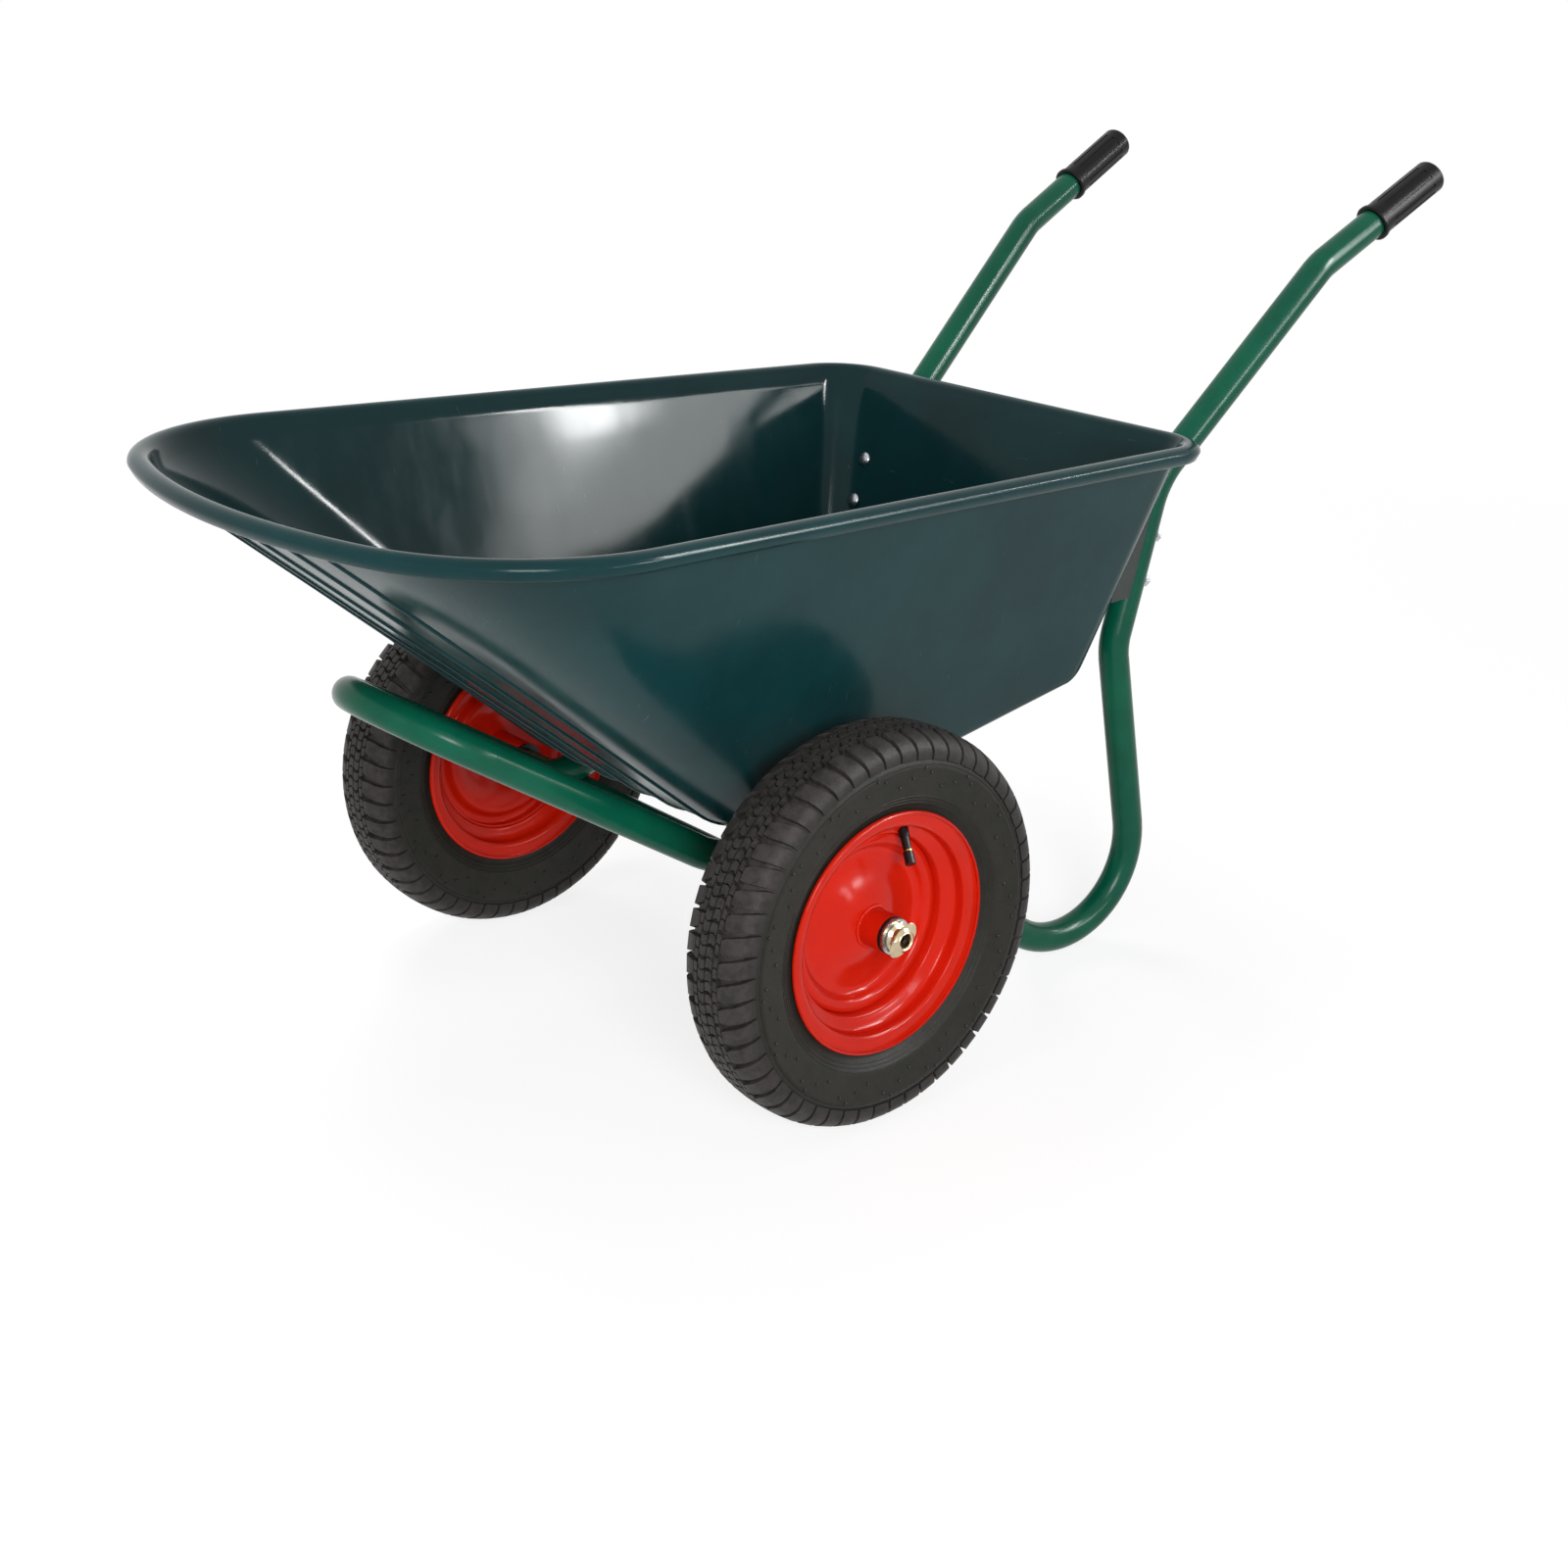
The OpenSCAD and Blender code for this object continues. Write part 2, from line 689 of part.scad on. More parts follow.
// Along the axle of the left wheel, measured outwards from the wheel's middle
axle_end = hub_in + 8;               // inner end of the axle tube, inwards
collar_h = 3.6;
seal_h = 3;
washer_h = 2.4;
nut_start = hub_out + seal_h + washer_h + 3 * seat;
axle_nut_h = 14;
nut_bore = 7;                        // open thread beyond the spindle's end
spindle_plug = 60;
shoulder_r = spindle_d / 2 + 2.2;    // bears on a bearing's inner ring

module at_left_wheel() {
  placed()
    translate([0, wheel_y, axle_z])
      rotate([-90, 0, 0])
        children();
}

module at_right_wheel() {
  other_side() at_left_wheel() children();
}

module axle_tube() {
  half = wheel_y - axle_end;
  color(frame_green) placed()
    translate([0, half, axle_z])
      rotate([90, 0, 0])
        linear_extrude(height = 2 * half)
          ring(axle_d / 2, axle_d / 2 - 3);
}

// A stepped spindle: its plug sits in the axle tube and its collar stops the inner bearing
module spindle() {
  difference() {
    union() {
      translate([0, 0, -axle_end - spindle_plug])
        cylinder(r = axle_d / 2 - 3 - race_play, h = spindle_plug + 1, $fn = 64);
      translate([0, 0, -axle_end + seat])
        cylinder(r = axle_d / 2 - 0.5, h = collar_h, $fn = 64);
      translate([0, 0, -axle_end])
        cylinder(r = spindle_d / 2, h = axle_end + nut_start + axle_nut_h - nut_bore, $fn = 64);
      translate([0, 0, -axle_end])
        cylinder(r = shoulder_r, h = axle_end + bearing_mids[1] - bearing_width / 2 - seat, $fn = 64);
    }
    translate([0, 0, nut_start - axle_nut_h])
      cylinder(r = 3.4, h = 3 * axle_nut_h, $fn = 32);
  }
}

module left_spindle() {
  color(zinc) at_left_wheel() spindle();
}

module right_spindle() {
  color(zinc) at_right_wheel() spindle();
}

// A lock nut with a flange, a collar and three rounded wings
module axle_nut() {
  wing_half = 5.2;
  wing_r = hub_d / 2 + 1 - wing_half;
  wing_h = axle_nut_h - 4.5;
  translate([0, 0, nut_start])
    difference() {
      union() {
        cylinder(r = hub_d / 2 - 3, h = 2.4, $fn = 64);
        cylinder(r = spindle_d / 2 + 3, h = axle_nut_h, $fn = 64);
        for (a = [55, 175, 295])
          rotate([0, 0, -a]) {
            translate([wing_r, 0, 0])
              cylinder(r = wing_half, h = wing_h, $fn = 32);
            translate([0, -wing_half, 0])
              cube([wing_r, 2 * wing_half, wing_h]);
          }
      }
      translate([0, 0, -1])
        cylinder(r = spindle_d / 2 + race_play, h = axle_nut_h + 2, $fn = 64);
    }
}

module left_axle_nut() {
  color(yellow_zinc) at_left_wheel() axle_nut();
}

module right_axle_nut() {
  color(yellow_zinc) at_right_wheel() axle_nut();
}

// A flanged washer: its sleeve reaches in through the seal to clamp the outer bearing
module axle_washer() {
  low = bearing_mids[0] + bearing_width / 2 + seat;
  high = nut_start - seat;
  difference() {
    union() {
      translate([0, 0, low])
        cylinder(r = shoulder_r, h = high - low, $fn = 64);
      translate([0, 0, high - washer_h])
        cylinder(r = hub_d / 2 - 1, h = washer_h, $fn = 64);
    }
    translate([0, 0, low - 1])
      cylinder(r = spindle_d / 2 + hole_play, h = high - low + 2, $fn = 64);
  }
}

module left_axle_washer() {
  color(zinc) at_left_wheel() axle_washer();
}

module right_axle_washer() {
  color(zinc) at_right_wheel() axle_washer();
}

// --- bearings ------------------------------------------------------------

ball_r = 2.38;
ball_count = 9;
pitch_r = (bearing_d + spindle_d) / 4;
land = 1.5;                        // height of the race's shoulder below the ball's middle
bearing_mids = [hub_out - bearing_width / 2 - 0.5, -hub_in + bearing_width / 2 + 0.5];

module at_bearings() {
  for (z = bearing_mids)
    translate([0, 0, z]) children();
}

module race(inner, outer) {
  rotate_extrude($fn = 96)
    difference() {
      translate([inner, -bearing_width / 2])
        square([outer - inner, bearing_width]);
      translate([pitch_r, 0])
        circle(r = ball_r + ball_play, $fn = 48);
    }
}

module inner_races() {
  at_bearings() race(spindle_d / 2 + race_play, pitch_r - land);
}

module outer_races() {
  at_bearings() race(pitch_r + land, bearing_d / 2 - race_play);
}

module bearing_balls() {
  at_bearings()
    for (i = [0:ball_count - 1])
      rotate([0, 0, i * 360 / ball_count])
        translate([pitch_r, 0, 0])
          sphere(r = ball_r, $fn = 32);
}

module left_inner_races() {
  color(zinc) at_left_wheel() inner_races();
}

module right_inner_races() {
  color(zinc) at_right_wheel() inner_races();
}

module left_outer_races() {
  color(zinc) at_left_wheel() outer_races();
}

module right_outer_races() {
  color(zinc) at_right_wheel() outer_races();
}

module left_bearing_balls() {
  color(zinc) at_left_wheel() bearing_balls();
}

module right_bearing_balls() {
  color(zinc) at_right_wheel() bearing_balls();
}

// A sleeve keeps the two inner races apart on the spindle
module race_spacer() {
  low = bearing_mids[1] + bearing_width / 2;
  high = bearing_mids[0] - bearing_width / 2;
  translate([0, 0, low + seat])
    linear_extrude(height = high - low - 2 * seat)
      ring(pitch_r - land - 0.5, spindle_d / 2 + 2 * race_play);
}

module left_race_spacer() {
  color(zinc) at_left_wheel() race_spacer();
}

module right_race_spacer() {
  color(zinc) at_right_wheel() race_spacer();
}

module dust_seals() {
  for (z = [hub_out + seat, -hub_in - seal_h - seat])
    translate([0, 0, z])
      linear_extrude(height = seal_h)
        ring(hub_d / 2 - 0.4, spindle_d / 2 + 4);
}

module left_dust_seals() {
  color(rubber_black) at_left_wheel() dust_seals();
}

module right_dust_seals() {
  color(rubber_black) at_right_wheel() dust_seals();
}

// --- wheel pressings -----------------------------------------------------

function sheet_normal(path, i) =
  let (
    n = len(path),
    a = unit(path[max(i, 1)] - path[max(i, 1) - 1]),
    b = unit(path[min(i, n - 2) + 1] - path[min(i, n - 2)]),
    m = unit(a + b))
  [-m.y, m.x] / max(0.5, m * a);
// Both faces of a pressed sheet that follows a path
function sheet_outline(path, t) = concat(
  [for (i = [0:len(path) - 1]) path[i] + sheet_normal(path, i) * t / 2],
  [for (i = [len(path) - 1:-1:0]) path[i] - sheet_normal(path, i) * t / 2]);

flange_r = flange_d / 2;
half_rim = flange_width / 2;
bead_seat_r = flange_r - 15.5;
well_r = flange_r - 28;

// Half of the drop-centre rim, from the curled flange to the well
half_rim_path = [
  [flange_r - 3.2, half_rim - 0.6], [flange_r - 1.2, half_rim - 1.6],
  [flange_r - 0.9, half_rim - 3.6], [flange_r - 4, half_rim - 5.2],
  [flange_r - 11, half_rim - 5.8], [bead_seat_r + 1, half_rim - 7.4],
  [bead_seat_r, half_rim - 9.4], [bead_seat_r - 0.8, half_rim - 19],
  [well_r + 3, 10], [well_r, 7]];
rim_path = concat(half_rim_path,
  [for (i = [len(half_rim_path) - 1:-1:0]) [half_rim_path[i].x, -half_rim_path[i].y]]);

// The valve leaves the well near its outer edge
valve_angle = 112;
valve_at = [well_r + 5, 12];
valve_tilt = 38;

module at_valve() {
  rotate([0, 0, -valve_angle])
    translate([valve_at.x, 0, valve_at.y])
      rotate([0, -90 + valve_tilt, 0])
        children();
}

module rim() {
  difference() {
    rotate_extrude($fn = 128)
      polygon(sheet_outline(rim_path, sheet));
    at_valve()
      translate([0, 0, -12])
        cylinder(r = 5.6, h = 30, $fn = 32);
  }
}

module left_rim() {
  color(wheel_red) at_left_wheel() rim();
}

module right_rim() {
  color(wheel_red) at_right_wheel() rim();
}

// The dished disc between the rim's well and the hub tube
disc_edge = well_r - sheet - seat;
disc_path = [
  [disc_edge, -8], [disc_edge, -0.8], [disc_edge - 1.8, 1.6], [disc_edge - 7, 2.4],
  [disc_edge - 10.5, 0.4], [disc_edge - 14, -5], [disc_edge - 18, -7.4], [disc_edge - 25, -6.6],
  [50, -2.6], [38, 3], [27, 7], [hub_d / 2 + seat, 9]];

module wheel_disc() {
  rotate_extrude($fn = 128)
    polygon(sheet_outline(disc_path, sheet));
}

module left_wheel_disc() {
  color(wheel_red) at_left_wheel() wheel_disc();
}

module right_wheel_disc() {
  color(wheel_red) at_right_wheel() wheel_disc();
}

module hub_tube() {
  translate([0, 0, -hub_in])
    linear_extrude(height = hub_in + hub_out)
      ring(hub_d / 2, bearing_d / 2);
}

module left_hub_tube() {
  color(wheel_red) at_left_wheel() hub_tube();
}

module right_hub_tube() {
  color(wheel_red) at_right_wheel() hub_tube();
}

// --- tyre ----------------------------------------------------------------

tyre_r = tyre_d / 2;
tyre_half = tyre_width / 2;
tread_half = tyre_half * 0.76;
toe_half = half_rim - 5.8 - sheet / 2 - 2 * seat;
widest_r = tyre_r - 32;
groove_depth = 4;
heel = 4.5;                        // chamfer at the foot of the bead

// Right half of the tyre's outer profile, from the crown to the bead, less an even skin
function tyre_side(grow) = concat(
  [for (a = [0:15:75]) [
    mix(widest_r, tyre_r, pow(cos(a), 0.55)) - grow,
    (tyre_half - grow) * pow(sin(a), 0.85)]],
  [for (a = [0:18:72]) [
    mix(flange_r + 4, widest_r, cos(a)),
    mix(toe_half + 6, tyre_half - grow, pow(cos(a), 0.9))]],
  [[flange_r + 2, toe_half + 2], [flange_r - 5, toe_half]]);

tyre_outer = concat(
  [for (i = [len(tyre_side(0)) - 1:-1:1]) let (p = tyre_side(0)[i]) [p.x, -p.y]],
  tyre_side(0));
tyre_carcass = 6;
cavity_half = toe_half - 9;

module tyre_profile() {
  difference() {
    polygon(concat(
      [[bead_seat_r + sheet / 2 + seat, -toe_half + heel], [bead_seat_r + heel, -toe_half]],
      tyre_outer,
      [[bead_seat_r + heel, toe_half], [bead_seat_r + sheet / 2 + seat, toe_half - heel]]));
    cavity_profile(0);
    translate([0, -cavity_half])
      square([flange_r, 2 * cavity_half]);
  }
}

// The space inside the carcass, which the inner tube fills
module cavity_profile(inset) {
  mid = (flange_r + tyre_r) / 2 - 3;
  translate([mid, 0])
    scale_to(tyre_r - tyre_carcass - groove_depth - mid - inset, tyre_half - tyre_carcass - inset);
}

// An oval drawn as a polygon
module scale_to(w, h) {
  polygon([for (a = [0:12:348]) [w * cos(a), h * sin(a)]]);
}

module tyre() {
  difference() {
    rotate_extrude($fn = 128) tyre_profile();
    for (z = [-1, 1])
      rotate_extrude($fn = 128)
        translate([tyre_r - groove_depth, z * tread_half * 0.34 - 1.6])
          square([groove_depth + 2, 3.2]);
    for (z = [-1, 1], i = [0:shoulder_grooves - 1])
      rotate([0, 0, (i + (z > 0 ? 0.5 : 0)) * 360 / shoulder_grooves])
        translate([tyre_r - 14, -1.5, z > 0 ? tread_half * 0.62 : -tyre_half - 3])
          cube([20, 3, tyre_half + 3 - tread_half * 0.62]);
  }
}

module left_tyre() {
  color(rubber_black) at_left_wheel() tyre();
}

module right_tyre() {
  color(rubber_black) at_right_wheel() tyre();
}

tube_skin = 2;

module inner_tube() {
  rotate_extrude($fn = 96)
    difference() {
      cavity_profile(seat);
      cavity_profile(seat + tube_skin);
    }
}

module left_inner_tube() {
  color(rubber_black) at_left_wheel() inner_tube();
}

module right_inner_tube() {
  color(rubber_black) at_right_wheel() inner_tube();
}

stem_h = 22;

module valve_stem() {
  at_valve() {
    translate([0, 0, -3])
      cylinder(r = 4.9, h = 11, $fn = 32);
    cylinder(r = 4.1, h = stem_h, $fn = 32);
    cylinder(r = 2.6, h = stem_h + 7, $fn = 32);
  }
}

module left_valve_stem() {
  color(brass) at_left_wheel() valve_stem();
}

module right_valve_stem() {
  color(brass) at_right_wheel() valve_stem();
}

module valve_cap() {
  at_valve()
    translate([0, 0, stem_h + seat])
      difference() {
        cylinder(r = 4.9, h = 12, $fn = 32);
        translate([0, 0, -1])
          cylinder(r = 2.6 + race_play, h = 9, $fn = 32);
      }
}

module left_valve_cap() {
  color(rubber_black) at_left_wheel() valve_cap();
}

module right_valve_cap() {
  color(rubber_black) at_right_wheel() valve_cap();
}

tray();
left_handle_tube();
right_handle_tube();
front_frame_tube();
axle_tube();
left_spindle();
right_spindle();
left_grip();
right_grip();
left_rear_spacer();
right_rear_spacer();
rear_wall_bolts();
rear_wall_washers();
rear_wall_nuts();
floor_bolts();
floor_nuts();
splice_bolts();
splice_nuts();
left_axle_nut();
right_axle_nut();
left_axle_washer();
right_axle_washer();
left_inner_races();
right_inner_races();
left_race_spacer();
right_race_spacer();
left_tyre();
right_tyre();
left_inner_tube();
right_inner_tube();
left_rim();
right_rim();
left_wheel_disc();
right_wheel_disc();
left_hub_tube();
right_hub_tube();
left_outer_races();
right_outer_races();
left_bearing_balls();
right_bearing_balls();
left_dust_seals();
right_dust_seals();
left_valve_stem();
right_valve_stem();
left_valve_cap();
right_valve_cap();
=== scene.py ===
"""Dresses the two-wheeled wheelbarrow.

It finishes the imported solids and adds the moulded, pressed and vulcanised pieces.
"""

import json
import logging
import math
from dataclasses import dataclass, field
from enum import Enum
from typing import Callable, Iterable, Sequence

import bmesh
import bpy
from bpy.types import (Material, Mesh, Node, NodeSocket as Socket, NodeTree as Tree, Object,
                       World)
from mathutils import Matrix, Vector


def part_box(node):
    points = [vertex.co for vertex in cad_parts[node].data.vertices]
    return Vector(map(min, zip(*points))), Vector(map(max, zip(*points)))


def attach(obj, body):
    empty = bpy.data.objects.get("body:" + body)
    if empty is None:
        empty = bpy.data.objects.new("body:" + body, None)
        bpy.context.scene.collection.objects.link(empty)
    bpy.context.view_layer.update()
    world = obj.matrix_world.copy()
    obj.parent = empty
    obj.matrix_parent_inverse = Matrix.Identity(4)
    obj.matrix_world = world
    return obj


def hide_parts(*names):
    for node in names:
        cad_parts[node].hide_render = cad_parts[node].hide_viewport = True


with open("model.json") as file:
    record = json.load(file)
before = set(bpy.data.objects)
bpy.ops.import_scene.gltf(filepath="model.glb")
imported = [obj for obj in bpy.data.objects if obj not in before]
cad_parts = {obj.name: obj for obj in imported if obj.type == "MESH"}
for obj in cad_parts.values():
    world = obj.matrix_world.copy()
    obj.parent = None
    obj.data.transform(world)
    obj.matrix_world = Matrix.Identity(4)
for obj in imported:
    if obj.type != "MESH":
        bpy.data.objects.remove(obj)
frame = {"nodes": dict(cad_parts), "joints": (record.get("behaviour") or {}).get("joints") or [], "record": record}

LOG = logging.getLogger("wheelbarrow")
Point = tuple[float, float, float]
Pair = tuple[float, float]
Face = tuple[int, ...]
Part = tuple[list[Point], list[Face]]
Row = tuple[float, float, float, float]
MM = 0.001
# The depth in metres of a grain at full bump strength
GRAIN_DEPTH = 0.0006
# How strongly each finer layer of a pattern shows
FINER_SHARE = 0.6
# The part of a noise pattern's range over which a second colour comes in
PATCH_RANGE = (0.35, 0.7)
# How much finer the smears of gloss are than the patches of colour
SMEAR_RATIO = 2.3
# The smallest and largest size of a drop of weld, as shares of its radius
DROP_SIZES = (0.82, 1.15)
# Points nearer than this, in metres, are one point
WELD_DISTANCE = 1e-6


# --------------------------------------------------------------- small tools


def linear(hex_colour: str) -> tuple[float, float, float, float]:
    """Turns an sRGB hex colour into linear red, green, blue and an alpha of one.

    Args:
        hex_colour: six hex digits.

    Returns:
        The linear colour with its alpha.
    """
    parts = [int(hex_colour[i:i + 2], 16) / 255 for i in (0, 2, 4)]
    red, green, blue = (c / 12.92 if c <= 0.04045 else ((c + 0.055) / 1.055) ** 2.4
                        for c in parts)
    return (red, green, blue, 1.0)


def add(tree: Tree, kind: str, settings: dict | None = None, links: dict | None = None) -> Node:
    """Adds one node with its settings and the links into it.

    Args:
        tree: the node tree to add to.
        kind: the node's type name.
        settings: attributes by name; a key that names an input sets its default value.
        links: output sockets by the name or number of the input that they feed.

    Returns:
        The new node.
    """
    node = tree.nodes.new(kind)
    for key, value in (settings or {}).items():
        if isinstance(key, int) or not hasattr(node, key):
            node.inputs[key].default_value = value
        else:
            setattr(node, key, value)
    for key, socket in (links or {}).items():
        tree.links.new(socket, node.inputs[key])
    return node


def cleared(owner: Material | World) -> Tree:
    """Turns an owner's nodes on and empties its tree.

    Args:
        owner: the new material or world.

    Returns:
        The empty tree.
    """
    owner.use_nodes = True
    owner.node_tree.nodes.clear()
    return owner.node_tree


def mix(a: float, b: float, t: float) -> float:
    """Returns the number that lies the share t of the way from a to b."""
    return a + (b - a) * t


def rounded(points: Sequence[Pair], steps: int) -> list[Pair]:
    """Draws one smooth line through points, as a drawn sheet follows its die.

    Args:
        points: the points that the line passes through.
        steps: the number of short runs between two points.

    Returns:
        The points of the smooth line.
    """
    line: list[Pair] = []
    last = len(points) - 1
    for i in range(last):
        p0, p1 = points[max(i - 1, 0)], points[i]
        p2, p3 = points[i + 1], points[min(i + 2, last)]
        for s in range(steps):
            t = s / steps
            line.append(tuple(
                0.5 * (2 * b + (c - a) * t + (2 * a - 5 * b + 4 * c - d) * t * t
                       + (3 * b - a - 3 * c + d) * t ** 3)
                for a, b, c, d in zip(p0, p1, p2, p3)))
    line.append(tuple(points[-1]))
    return line


def bands(rings: int, count: int, closed: bool = True) -> list[Face]:
    """Joins rings of points by rows of four-sided faces.

    Args:
        rings: the number of rings.
        count: the number of points in a ring.
        closed: whether the last ring joins the first.

    Returns:
        The faces as rows of point numbers.
    """
    faces: list[Face] = []
    for ring in range(rings if closed else rings - 1):
        here, there = ring * count, (ring + 1) % rings * count
        faces += [(here + i, here + (i + 1) % count, there + (i + 1) % count, there + i)
                  for i in range(count)]
    return faces


def joined(parts: Iterable[Part]) -> Part:
    """Puts the points and faces of several parts into one.

    Args:
        parts: the parts, each with faces that count its own points.

    Returns:
        One part with them all.
    """
    verts: list[Point] = []
    faces: list[Face] = []
    for points, sides in parts:
        faces += [tuple(len(verts) + i for i in side) for side in sides]
        verts += points
    return verts, faces


def curved(first: list[Vector], bend: list[Vector], last: list[Vector],
           shares: Iterable[float]) -> list[list[Vector]]:
    """Returns rings that curve from a first ring, past a bend, towards a last one."""
    return [[a.lerp(b, t).lerp(b.lerp(c, t), t) for a, b, c in zip(first, bend, last)]
            for t in shares]


def new_object(name: str, mesh: Mesh) -> Object:
    """Puts a mesh into the scene as an object at the origin.

    Args:
        name: the object's name.
        mesh: its mesh.

    Returns:
        The new object.
    """
    obj = bpy.data.objects.new(name, mesh)
    bpy.context.scene.collection.objects.link(obj)
    return obj


def mesh_from(name: str, verts: Iterable[Point], faces: Iterable[Sequence[int]],
              sharp: float) -> Mesh:
    """Makes a smooth mesh whose faces point outwards and whose hard edges stay sharp.

    Args:
        name: the mesh's name.
        verts: the points, in metres.
        faces: the faces as rows of point numbers.
        sharp: the angle in degrees past which an edge is kept sharp.

    Returns:
        The new mesh.
    """
    mesh = bpy.data.meshes.new(name)
    mesh.from_pydata([tuple(v) for v in verts], [], [tuple(f) for f in faces])
    bm = bmesh.new()
    bm.from_mesh(mesh)
    bmesh.ops.remove_doubles(bm, verts=bm.verts, dist=WELD_DISTANCE)
    bmesh.ops.recalc_face_normals(bm, faces=bm.faces)
    for face in bm.faces:
        face.smooth = True
    bm.to_mesh(mesh)
    bm.free()
    mesh.set_sharp_from_angle(angle=math.radians(sharp))
    return mesh


def bake_nodes(obj: Object) -> Object:
    """Turns an object's modifiers into a plain mesh and removes them.

    Args:
        obj: the object whose modifiers are finished.

    Returns:
        The same object with its plain mesh.
    """
    graph = bpy.context.evaluated_depsgraph_get()
    mesh = bpy.data.meshes.new_from_object(obj.evaluated_get(graph))
    obj.modifiers.clear()
    obj.data = mesh
    return obj


# ------------------------------------------------------------ geometry nodes


@dataclass(frozen=True)
class NodeRecipe:
    """A geometry node tree with named inputs, run once on a base mesh."""

    name: str
    inputs: tuple[tuple[str, str, object], ...]
    wire: Callable[[Tree, Node], Socket]

    def run(self, obj: Object, material: Material) -> Object:
        """Runs the tree on an object and keeps the result as a plain mesh.

        Args:
            obj: the object that holds the base mesh.
            material: the material that the result carries.

        Returns:
            The object with its plain mesh.
        """
        tree = bpy.data.node_groups.new(self.name, "GeometryNodeTree")
        face = tree.interface
        face.new_socket(name="Geometry", in_out="INPUT", socket_type="NodeSocketGeometry")
        sockets = {n: face.new_socket(name=n, in_out="INPUT", socket_type=kind)
                   for n, kind, _ in self.inputs}
        face.new_socket(name="Geometry", in_out="OUTPUT", socket_type="NodeSocketGeometry")
        start = add(tree, "NodeGroupInput")
        made = self.wire(tree, start)
        real = add(tree, "GeometryNodeRealizeInstances", {}, {"Geometry": made})
        dressed = add(tree, "GeometryNodeSetMaterial", {"Material": material},
                      {"Geometry": real.outputs[0]})
        add(tree, "NodeGroupOutput", {}, {0: dressed.outputs[0]})
        modifier = obj.modifiers.new(self.name, "NODES")
        modifier.node_group = tree
        for name, _, value in self.inputs:
            modifier[sockets[name].identifier] = value
        return bake_nodes(obj)


def wire_ring(tree: Tree, start: Node) -> Socket:
    """Repeats the base mesh evenly around an axle that runs along Y.

    Args:
        tree: the node tree.
        start: its input node, with Count and Centre.

    Returns:
        The socket that carries the copies.
    """
    points = add(tree, "GeometryNodePoints", {},
                 {"Count": start.outputs["Count"], "Position": start.outputs["Centre"]})
    index = add(tree, "GeometryNodeInputIndex").outputs[0]
    step = add(tree, "ShaderNodeMath", {"operation": "DIVIDE", 0: math.tau},
               {1: start.outputs["Count"]}).outputs[0]
    angle = add(tree, "ShaderNodeMath", {"operation": "MULTIPLY"}, {0: index, 1: step}).outputs[0]
    euler = add(tree, "ShaderNodeCombineXYZ", {}, {"Y": angle}).outputs[0]
    spin = add(tree, "FunctionNodeEulerToRotation", {}, {0: euler}).outputs[0]
    return add(tree, "GeometryNodeInstanceOnPoints", {},
               {"Points": points.outputs[0], "Instance": start.outputs["Geometry"],
                "Rotation": spin}).outputs[0]


def wire_rod(tree: Tree, start: Node) -> Socket:
    """Lays a round bead along the edges of the base mesh.

    Args:
        tree: the node tree.
        start: its input node, with Radius.

    Returns:
        The socket that carries the beads.
    """
    lines = add(tree, "GeometryNodeMeshToCurve", {}, {"Mesh": start.outputs["Geometry"]})
    circle = add(tree, "GeometryNodeCurvePrimitiveCircle", {"Resolution": 10},
                 {"Radius": start.outputs["Radius"]})
    beads = add(tree, "GeometryNodeCurveToMesh", {"Fill Caps": True},
                {"Curve": lines.outputs[0], "Profile Curve": circle.outputs[0]})
    return add(tree, "GeometryNodeSetShadeSmooth", {}, {"Geometry": beads.outputs[0]}).outputs[0]


def wire_weld(tree: Tree, start: Node) -> Socket:
    """Lays overlapping drops of weld along the edges of the base mesh.

    Args:
        tree: the node tree.
        start: its input node, with Pitch and Radius.

    Returns:
        The socket that carries the drops.
    """
    lines = add(tree, "GeometryNodeMeshToCurve", {}, {"Mesh": start.outputs["Geometry"]})
    even = add(tree, "GeometryNodeCurveToPoints", {"mode": "LENGTH"},
               {"Curve": lines.outputs[0], "Length": start.outputs["Pitch"]})
    drop = add(tree, "GeometryNodeMeshUVSphere", {"Segments": 10, "Rings": 6},
               {"Radius": start.outputs["Radius"]})
    wobble = add(tree, "FunctionNodeRandomValue", {"data_type": "FLOAT", "Seed": 7})
    floats = [s for s in wobble.inputs if s.type == "VALUE"]
    floats[0].default_value, floats[1].default_value = DROP_SIZES
    size = next(s for s in wobble.outputs if s.type == "VALUE")
    drops = add(tree, "GeometryNodeInstanceOnPoints", {},
                {"Points": even.outputs[0], "Instance": drop.outputs[0], "Scale": size})
    return add(tree, "GeometryNodeSetShadeSmooth", {}, {"Geometry": drops.outputs[0]}).outputs[0]


def polylines(name: str, paths: Iterable[Sequence[Point]], closed: bool = False) -> Mesh:
    """Makes a mesh of edges from paths of points.

    Args:
        name: the mesh's name.
        paths: one row of points for each line.
        closed: whether each line's end joins its start.

    Returns:
        The mesh of edges.
    """
    verts: list[Point] = []
    edges: list[tuple[int, int]] = []
    for path in paths:
        first = len(verts)
        verts += [tuple(p) for p in path]
        edges += [(first + i, first + i + 1) for i in range(len(path) - 1)]
        if closed:
            edges.append((len(verts) - 1, first))
    mesh = bpy.data.meshes.new(name)
    mesh.from_pydata(verts, edges, [])
    return mesh


# ------------------------------------------------------------------ finishes


class Slot(Enum):
    """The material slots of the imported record."""

    TUB = "tub_plastic"
    FRAME = "green_enamel"
    GRIP = "grip_rubber"
    SPACER = "spacer_plastic"
    TYRE = "tyre_rubber"
    INNER_TUBE = "inner_tube_rubber"
    WHEEL = "red_enamel"
    SEAL = "seal_rubber"
    VALVE = "valve_rubber"
    CAP = "cap_plastic"
    YELLOW_ZINC = "yellow_zinc"
    BEARING = "bearing_steel"
    ZINC = "zinc_steel"


